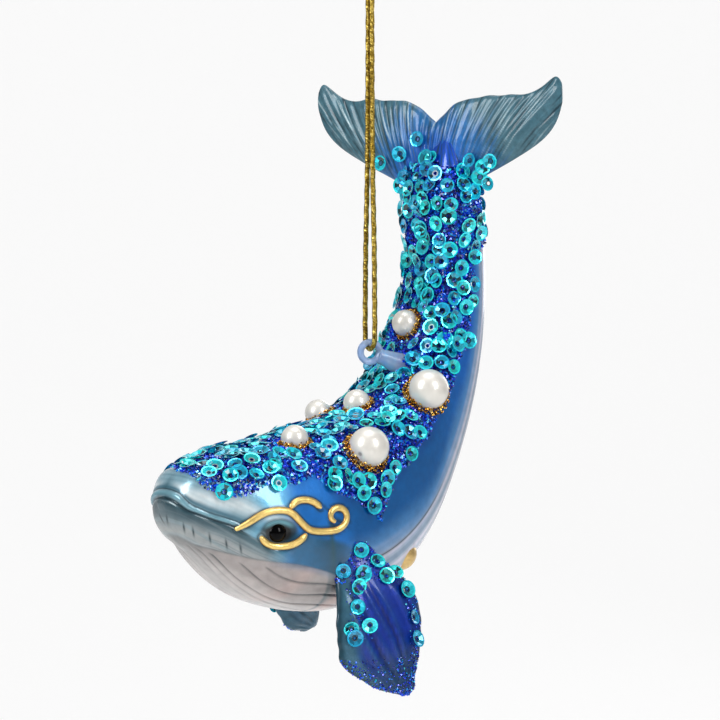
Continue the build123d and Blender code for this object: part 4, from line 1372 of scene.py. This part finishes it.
class WHALE_OT_eyes(bpy.types.Operator):
    """Makes the eyes, the gold scrolls and brows round them, and the belly seal"""

    bl_idname = "whale.eyes"
    bl_label = "Eyes and gold lines"

    def gold_line(self, shares, flip):
        """A raised line on the cheek: half as high as wide, drawn out to a point at both ends."""
        path, normal = on_cheek(shares)
        place = np.linspace(0, 1, len(path))
        swell = np.sqrt(np.clip(ease(place, -0.06, 0.12) * (1 - ease(place, 0.90, 1.05)), 0, 1))
        width = GOLD_LINE_WIDTH / 2 * (0.35 + 1.0 * swell)
        height = GOLD_RELIEF * (0.35 + 0.65 * swell)
        rings, _ = sweep_rings(path, normal, width, height, GOLD_LINE_ROUND)
        rings, first, last, _ = with_caps(rings, 0.35, 0.35, 3)
        rise = np.sin(np.arange(GOLD_LINE_ROUND) * 2 * math.pi / GOLD_LINE_ROUND)
        # Painted highlight along the crest of the line, painted shade down its sides and underside
        colour = layered("#c47f22", ("#f4d27e", np.tile(ease(rise, 0.0, 0.8), (len(rings), 1))))
        mirror = np.array([1, flip, 1])
        return *closed_rings(rings * mirror, first * mirror, last * mirror), with_poles(colour)

    def execute(self, context):
        gold = gold_relief_paint()
        glass = black_glass()
        seat, normal = on_cheek([(0.0, 0.0)])
        for side, flip in (("left", 1), ("right", -1)):
            mirror = np.array([1, flip, 1])
            centre = (seat[0] - normal[0] * EYE_SINK) * mirror
            rings, _ = sphere_rings(centre, EYE_DIAMETER / 2, normal[0] * mirror, 30, 40)
            points, faces = closed_rings(rings, rings[0].mean(0), rings[-1].mean(0))
            eye = mesh_piece("glass_eye_" + side, points, faces, glass)
            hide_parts("eye_" + side)
            scrolls = ("gold_eye_scroll_", (lid_line_shares, lower_lid_shares))
            for name, lines in (scrolls, ("gold_brow_", (brow_shares,))):
                points, faces, colours = joined([self.gold_line(shares, flip) for shares in lines])
                line = mesh_piece("raised_" + name + side, points, faces, gold, colours=colours)
                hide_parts(name + side)
        seat, normal = on_skin(np.array([SEAL_PLACE[0]]), np.array([SEAL_PLACE[1]]))
        rings, _ = sphere_rings(seat[0] - normal[0] * SEAL_SINK, SEAL_DIAMETER / 2, normal[0], 30, 48)
        colour = with_poles(np.broadcast_to(linear("#d9b877"), rings.shape))
        seal = mesh_piece("gold_belly_seal", *closed_rings(rings), gold, colours=colour)
        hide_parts("belly_seal")
        return {"FINISHED"}


def faceted_grain():
    """A grain with twelve corners and twenty flat faces: an icosahedron of radius one."""
    golden = (1 + math.sqrt(5)) / 2
    corners = np.array([(0, a, b * golden) for a in (-1, 1) for b in (-1, 1)], float)
    corners = unit(np.concatenate([np.roll(corners, turn, axis=1) for turn in range(3)]))
    gaps = np.linalg.norm(corners[:, None] - corners[None], axis=2)
    near = (gaps > 0.1) & (gaps < 1.2)
    first, second, third = np.meshgrid(*[np.arange(12)] * 3, indexing="ij")
    once = (first < second) & (second < third)
    flat = near[first, second] & near[second, third] & near[first, third] & once
    faces = np.stack([first[flat], second[flat], third[flat]], axis=1)
    a, b, c = (corners[faces[:, column]] for column in range(3))
    inward = np.sum(np.cross(b - a, c - a) * a, axis=1) < 0
    faces[inward] = faces[inward][:, ::-1]
    return corners, faces.tolist()


def cup_sequin():
    """A cup sequin of radius one: a hole, a floor with eight corners, eight flat facets that rise
    from it and a narrow round rim. Its faces go round it: floor, facet and two of the rim by turns."""
    steps = np.arange(8) * math.pi / 4
    hole, floor, shoulder, tilt = 0.26, 0.40, 0.84, 0.5
    corner = np.stack([np.cos(steps), np.sin(steps), 0 * steps], axis=1)
    between = np.stack([np.cos(steps + math.pi / 8), np.sin(steps + math.pi / 8), 0 * steps], axis=1)
    up = np.array([0, 0, tilt])
    facet_top, rim_top = up * (shoulder - floor), up * (shoulder - floor) + [0, 0, 0.02]
    points = np.concatenate([
        corner * hole, corner * floor, corner * shoulder + facet_top, corner + rim_top, between + rim_top,
    ])
    faces = []
    for count in range(8):
        after = (count + 1) % 8
        faces.append([count, 8 + count, 8 + after, after])
        faces.append([8 + count, 16 + count, 16 + after, 8 + after])
        faces.append([16 + count, 24 + count, 32 + count])
        faces.append([16 + count, 32 + count, 24 + after, 16 + after])
    return points, faces


def cut_grain():
    """A cut grain with six corners and eight flat faces: an octahedron of radius one."""
    corners = np.array([(1, 0, 0), (-1, 0, 0), (0, 1, 0), (0, -1, 0), (0, 0, 1), (0, 0, -1)], float)
    faces = []
    for x in (0, 1):
        for y in (2, 3):
            for z in (4, 5):
                faces.append([x, y, z] if (x + y + z) % 2 == 0 else [x, z, y])
    return corners, faces


def keep_off_pearls(places, room):
    """Which places have room beside the pearls and the ring's stem, whose seat is left bare."""
    clear = np.ones(len(places), bool)
    for along, turn, diameter, _ in pearls.values():
        seat, _ = on_skin(np.array([along]), np.array([turn]))
        clear &= np.linalg.norm(places - seat, axis=1) > diameter / 2 + room
    stem = RING_CENTRE + level_direction(RING_TURN, STEM_PITCH) * STEM_LENGTH
    return clear & (np.linalg.norm(places - stem, axis=1) > STEM_ROOT_DIAMETER / 2 + room - STEM_CROWDING)


def covered_places(spacing, seed, margin, loose):
    """Places on the trimmed back, as points and normals: a staggered net over the distance along
    and round the body, shaken by a share of its spacing, and cut off at the trimmed edge."""
    pick = np.random.default_rng(seed)
    along_fine = np.linspace(COVER_START, COVER_END, 400)
    middle, _, ahead, _, half, _ = body_section(along_fine)
    back, _ = on_skin(along_fine, 0 * along_fine)
    length = lengths_along((middle + back) / 2)
    rows = np.arange(0, length[-1], spacing * 0.87)
    reach = int(BODY_WIDTH * NET_REACH / spacing)
    columns = np.arange(-reach, reach + 1) * spacing
    run, arc = np.meshgrid(rows, columns, indexing="ij")
    arc = arc + (np.arange(len(rows)) % 2)[:, None] * spacing / 2
    run = np.clip(run + pick.uniform(-loose, loose, run.shape) * spacing, 0, length[-1])
    arc = arc + pick.uniform(-loose, loose, arc.shape) * spacing
    along = np.interp(run, length, along_fine)
    radius = np.interp(along, along_fine, (ahead + half) / 2)
    turn = np.degrees(arc / radius)
    limit = np.interp(along, *np.array(cover_shares).T) + margin
    limit = limit + 5 * ripple(along * 60, seed, 0.6, 2) * (np.abs(turn) > 30)
    start = COVER_START + FAR_SIDE_START * (-turn / 25).clip(0, 3)
    keep = (np.abs(turn) < np.minimum(limit, 180)) & (along > start)
    return *on_skin(along[keep], turn[keep]), along[keep]


class WHALE_OT_trim(bpy.types.Operator):
    """Glues on the cup sequins and the glass beads between them"""

    bl_idname = "whale.trim"
    bl_label = "Sequins and beads"

    def stem_places(self, shares):
        """Places on the ring's stem, from shares of its length and turns from its top in degrees."""
        stem = level_direction(RING_TURN, STEM_PITCH)
        near = unit(np.cross(stem, [0, 0, 1]))
        near = near * np.sign(near @ picture_axes()[2])
        top = np.cross(near, stem) * np.sign(np.cross(near, stem)[2])
        turn = np.radians(shares[:, [1]])
        outward = np.cos(turn) * top + np.sin(turn) * near
        radius = (STEM_TIP_DIAMETER + (STEM_ROOT_DIAMETER - STEM_TIP_DIAMETER) * shares[:, [0]]) / 2
        reach = RING_OUTER_DIAMETER / 2 + shares[:, [0]] * STEM_LENGTH
        return RING_CENTRE + stem * reach + outward * radius, outward

    def sequins(self, name, places, normals, seed, nodes, lift):
        """Cup sequins at places, each tilted a little from its normal. A sequin's colour lies between
        turquoise and blue, every fifth is greener, and its facets are lit or dark by chance."""
        pick = np.random.default_rng(seed)
        count = len(places)
        tilted = unit(normals + pick.normal(0, 0.17, (count, 3)))
        radius = bpy.context.scene.whale_trim.sequin_diameter / MM / 2
        size = np.repeat(radius * pick.uniform(0.86, 1.04, (count, 1)), 3, axis=1)
        seats = places + normals * pick.uniform(*lift, (count, 1))
        shape, shape_faces = cup_sequin()
        turns = frames_on(tilted, pick.uniform(0, 6.28, count))
        points, faces = scatter(shape, shape_faces, seats, turns, size)
        bright, deep, green = palette("#18d9e6", "#0a8ec0", "#10c0b2")
        colour = bright + (deep - bright) * pick.uniform(0, 1, (count, 1)) ** 1.2
        colour = colour + (green - colour) * (pick.uniform(0, 1, (count, 1)) > 0.8) * 0.6
        # Painted light on each sequin: facets lit or dark by chance, the floor round the hole in painted
        # shade, the rim a painted highlight
        facet = pick.choice((1.0, 1.5, 0.6, 0.1), (count, 8), p=(0.46, 0.20, 0.22, 0.12))
        floor = pick.uniform(0.03, 0.2, (count, 1)) * np.ones((1, 8))
        rim = pick.uniform(1.1, 2.0, (count, 8))
        shades = np.stack([floor, facet, rim, rim], axis=2).reshape(count, 32)
        corners = [len(face) for face in shape_faces]
        colours = np.repeat(shades[..., None] * colour[:, None], corners, axis=1).clip(0, 1)
        piece = mesh_piece(name, points, faces, self.film, colours=colours, smooth=False)
        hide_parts(*nodes)

    def beads(self, name, places, normals, seed, lift, scale=1.0, node=None):
        """Cut grains at places, lying every way up, of six blues, with faces that flash or stay dark."""
        pick = np.random.default_rng(seed)
        count = len(places)
        radius = bpy.context.scene.whale_trim.bead_size / MM / 2 * scale
        size = radius * pick.uniform(0.55, 1.2, (count, 1)) * pick.uniform(0.75, 1.3, (count, 3))
        seats = places + normals * pick.uniform(*lift, (count, 1))
        points, faces = scatter(*cut_grain(), seats, tumbled(pick, count), size)
        shades = palette("#0220a8", "#023ce4", "#0464f0", "#020c60", "#0a90f4", "#58ccfa")
        chance = pick.choice(len(shades), count, p=(0.25, 0.27, 0.2, 0.14, 0.09, 0.05))
        # Painted light: each face is darkened or brightened, up to a white painted glint
        gleam = pick.choice((1.0, 1.6, 0.3, 4.0), (count, 8), p=(0.46, 0.26, 0.2, 0.08))
        colours = np.repeat(gleam[..., None] * shades[chance][:, None], 3, axis=1).clip(0, 1)
        piece = mesh_piece(name, points, faces, self.glass, colours=colours, smooth=False)
        if node:
            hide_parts(node)

    def back(self, trim):
        """Sequins and beads on the back, some of them up the stem of the ring."""
        places, normals, along = covered_places(trim.sequin_spacing / MM, 7, -3, 0.33)
        thin = ease(ripple(along * 60 + places[:, 1] * 0.35, 77, 0.5, 1.6), 0.45, 0.9)
        drawn = np.random.default_rng(70).uniform(0, 1, len(places)) > SEQUIN_VOIDS + 0.5 * thin
        clear = keep_off_pearls(places, SEQUIN_ROOM) & drawn
        root, outward = self.stem_places(np.array(stem_sequin_places, float))
        places, normals = np.concatenate([places[clear], root]), np.concatenate([normals[clear], outward])
        nodes = ["sequins_" + zone for zone, _ in cover_zones]
        self.sequins("cup_sequins_body", places, normals, 71, nodes, (0.4, 1.2))

        places, normals, along = covered_places(trim.bead_spacing / MM, 9, -1, 0.5)
        clear = keep_off_pearls(places, BEAD_ROOM)
        pick = np.random.default_rng(36)
        climb = 1 - (1 - STEM_BEADS_FROM) * pick.uniform(0, 1, STEM_BEADS) ** 1.6
        root, outward = self.stem_places(np.stack([climb, pick.uniform(0, 360, STEM_BEADS)], axis=1))
        start = 0
        for zone, end in cover_zones:
            inside = clear & (along >= start) & (along < end)
            seats, facing = places[inside], normals[inside]
            if zone == "shoulders":
                seats, facing = np.concatenate([seats, root]), np.concatenate([facing, outward])
            self.beads("cut_beads_" + zone, seats, facing, 91, (-0.1, 0.4), 1.0, "beads_" + zone)
            start = end

    def flipper(self, number, side):
        """Sequins at set places on a flipper's outer face, and grains at its edges, root and tip."""
        rings, place, share, _, face = flipper_grid(side, FLIPPER_ROWS, FLIPPER_ROUND)
        outward = face * np.sign(face[1] * rings[..., 1].mean())
        normal = normals_of(rings)
        points, normals = rings.reshape(-1, 3), normal.reshape(-1, 3)
        facing = (normal @ outward) > 0.35
        wanted = np.array(flipper_sequin_shares)
        apart = np.hypot(place.ravel() - wanted[:, [0]], share.ravel() - wanted[:, [1]])
        seats = (apart + 9 * ~facing.ravel()).argmin(axis=1)
        name, nodes = "cup_sequins_flipper_" + side, ["sequins_flipper_" + side]
        self.sequins(name, points[seats], normals[seats], 73 + number, nodes, (0.15, 0.5))

        pick = np.random.default_rng(31 + number)
        lead_edge = (share < -0.35) & (share > -0.85) & (place < 0.62)
        edge = lead_edge | (share > 0.55) & (share < 0.95) | (place < 0.25) | (place > 0.75)
        spread = pick.permutation(np.flatnonzero(facing & (place > 0.02) & edge))[:FLIPPER_GRAINS]
        root = pick.permutation(np.flatnonzero(facing & (place < 0.26)))[:FLIPPER_ROOT_GRAINS]
        order = np.concatenate([spread, root])
        name = "glass_grains_flipper_" + side
        self.beads(name, points[order], normals[order], 95 + number, (-0.1, 0.15), 0.6)

    def execute(self, context):
        self.film, self.glass = sequin_film(), cut_glass_beads()
        self.back(context.scene.whale_trim)
        across, up, face, seat = fluke_axes()
        shares = np.array(fluke_sequin_shares)
        places = seat - face * FLUKE_THICKNESS / 2 * 0.9 + shares[:, [0]] * (across * FLUKE_SPAN / 2)
        places = places + shares[:, [1]] * (up * FLUKE_CHORD)
        normals = np.tile(-face, (len(shares), 1))
        self.sequins("cup_sequins_flukes", places, normals, 72, ["sequins_flukes"], (0.2, 0.5))
        for number, side in enumerate(flippers):
            self.flipper(number, side)
        return {"FINISHED"}


class WHALE_OT_pearls(bpy.types.Operator):
    """Sets the pearls and the gold grains round each"""

    bl_idname = "whale.pearls"
    bl_label = "Pearls"

    def pearl(self, name, seat, normal, diameter, material):
        """A ball with a shallow dimple where its drilled hole shows, painted near black as shade for the
        hole's bore.
        """
        right, up, back = picture_axes()
        centre = seat + normal * PEARL_LIFT_SHARE * diameter / 2
        drill = -normal
        if name in drill_shares:
            aside, above = drill_shares[name]
            drill = aside * right + above * up + math.sqrt(1 - aside**2 - above**2) * back
        rings, polar = sphere_rings(centre, diameter / 2, drill, PEARL_ROWS, PEARL_ROUND)
        dimple = ridge(polar * diameter / 2, DRILL_WIDTH)
        rings = rings - (rings - centre) * 0.05 * dimple[..., None]
        # The dimple is painted near black: painted shade for the drilled hole's bore
        colour = layered("#e4e0d8", ("#101014", 0.95 * dimple + np.zeros(rings.shape[:2])))
        bead = mesh_piece("lustre_pearl_" + name, *closed_rings(rings), material, colours=with_poles(colour))
        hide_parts("pearl_" + name)

    def collar(self, name, seed, seat, normal, diameter, width, material):
        """Gold grains in a band round a pearl, laid on the skin and heaped against the pearl."""
        pick = np.random.default_rng(seed)
        grain = bpy.context.scene.whale_trim.grain_size / MM
        radius = diameter / 2
        turns = frames_on(normal[None], np.zeros(1))[0]
        count = int(2 * math.pi * (radius + width / 2) * (width + 0.5) / grain**2 * 2.0)
        angle = pick.uniform(0, 2 * math.pi, count)[:, None]
        out = radius * 0.93 + (width + 0.25) * pick.uniform(0, 1, count) ** 0.9
        flat = seat + out[:, None] * (np.cos(angle) * turns[:, 0] + np.sin(angle) * turns[:, 1])
        skin = body_points.reshape(-1, 3)
        near = skin[np.linalg.norm(skin - seat, axis=1) < diameter]
        apart = flat[:, None] - near[None]
        gaps = np.linalg.norm(apart - np.sum(apart * normal, axis=2, keepdims=True) * normal, axis=2)
        weight = np.exp(-((gaps / 0.9) ** 2))
        drop = (weight @ ((near - seat) @ normal)) / np.maximum(weight.sum(axis=1), 1e-9)
        slope = 1 - ((out - radius) / (width + 0.3)).clip(0, 1)
        rise = PEARL_LIFT_SHARE * radius * slope * pick.uniform(0.3, 1.15, count)
        spots = flat + (drop + rise)[:, None] * normal
        size = grain / 2 * pick.uniform(0.7, 1.25, (count, 3))
        shape, faces = faceted_grain()
        points, faces = scatter(shape, faces, spots, tumbled(pick, count), size)
        # Gold tones per grain; the darkest brown is painted shade, the two palest painted glints
        shades = palette("#94611c", "#c8923a", "#f0c868", "#6d4412", "#fae6a8")
        chance = pick.choice(len(shades), count, p=(0.25, 0.32, 0.25, 0.1, 0.08))
        colours = np.repeat(shades[chance], len(shape), axis=0)
        grains = mesh_piece("gold_grains_" + name, points, faces, material, colours=colours, smooth=False)
        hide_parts("gold_collar_" + name)

    def execute(self, context):
        lustre, gold = imitation_pearl(), gold_grains()
        for number, (name, (along, turn, diameter, width)) in enumerate(pearls.items()):
            seat, normal = (item[0] for item in on_skin(np.array([along]), np.array([turn])))
            self.pearl(name, seat, normal, diameter, lustre)
            self.collar(name, 110 + number, seat, normal, diameter, width, gold)
        return {"FINISHED"}


class WHALE_PT_panel(bpy.types.Panel):
    """Lists the whale's pieces"""

    bl_label = "Glass Whale"
    bl_idname = "WHALE_PT_panel"
    bl_space_type = "VIEW_3D"
    bl_region_type = "UI"
    bl_category = "Whale"

    def draw(self, context):
        for group in (context.scene.whale_trim, context.scene.whale_paint):
            for name in group.__annotations__:
                self.layout.prop(group, name)
        for operator in operators:
            self.layout.operator(operator.bl_idname)


operators = (
    WHALE_OT_stage, WHALE_OT_cord, WHALE_OT_ring, WHALE_OT_body, WHALE_OT_flukes, WHALE_OT_flippers,
    WHALE_OT_eyes, WHALE_OT_pearls, WHALE_OT_trim,
)


def register():
    for kind in (WhaleTrim, WhalePaint, *operators, WHALE_PT_panel):
        bpy.utils.register_class(kind)
    bpy.types.Scene.whale_trim = bpy.props.PointerProperty(type=WhaleTrim)
    bpy.types.Scene.whale_paint = bpy.props.PointerProperty(type=WhalePaint)


def unregister():
    del bpy.types.Scene.whale_paint
    del bpy.types.Scene.whale_trim
    for kind in (WHALE_PT_panel, *reversed(operators), WhalePaint, WhaleTrim):
        bpy.utils.unregister_class(kind)


def main():
    register()
    bpy.context.scene.view_settings.view_transform = "Standard"
    bpy.ops.whale.stage()
    bpy.ops.whale.cord()
    bpy.ops.whale.ring()
    bpy.ops.whale.body()
    bpy.ops.whale.flukes()
    bpy.ops.whale.flippers()
    bpy.ops.whale.eyes()
    bpy.ops.whale.pearls()
    bpy.ops.whale.trim()


if __name__ == "__main__":
    main()
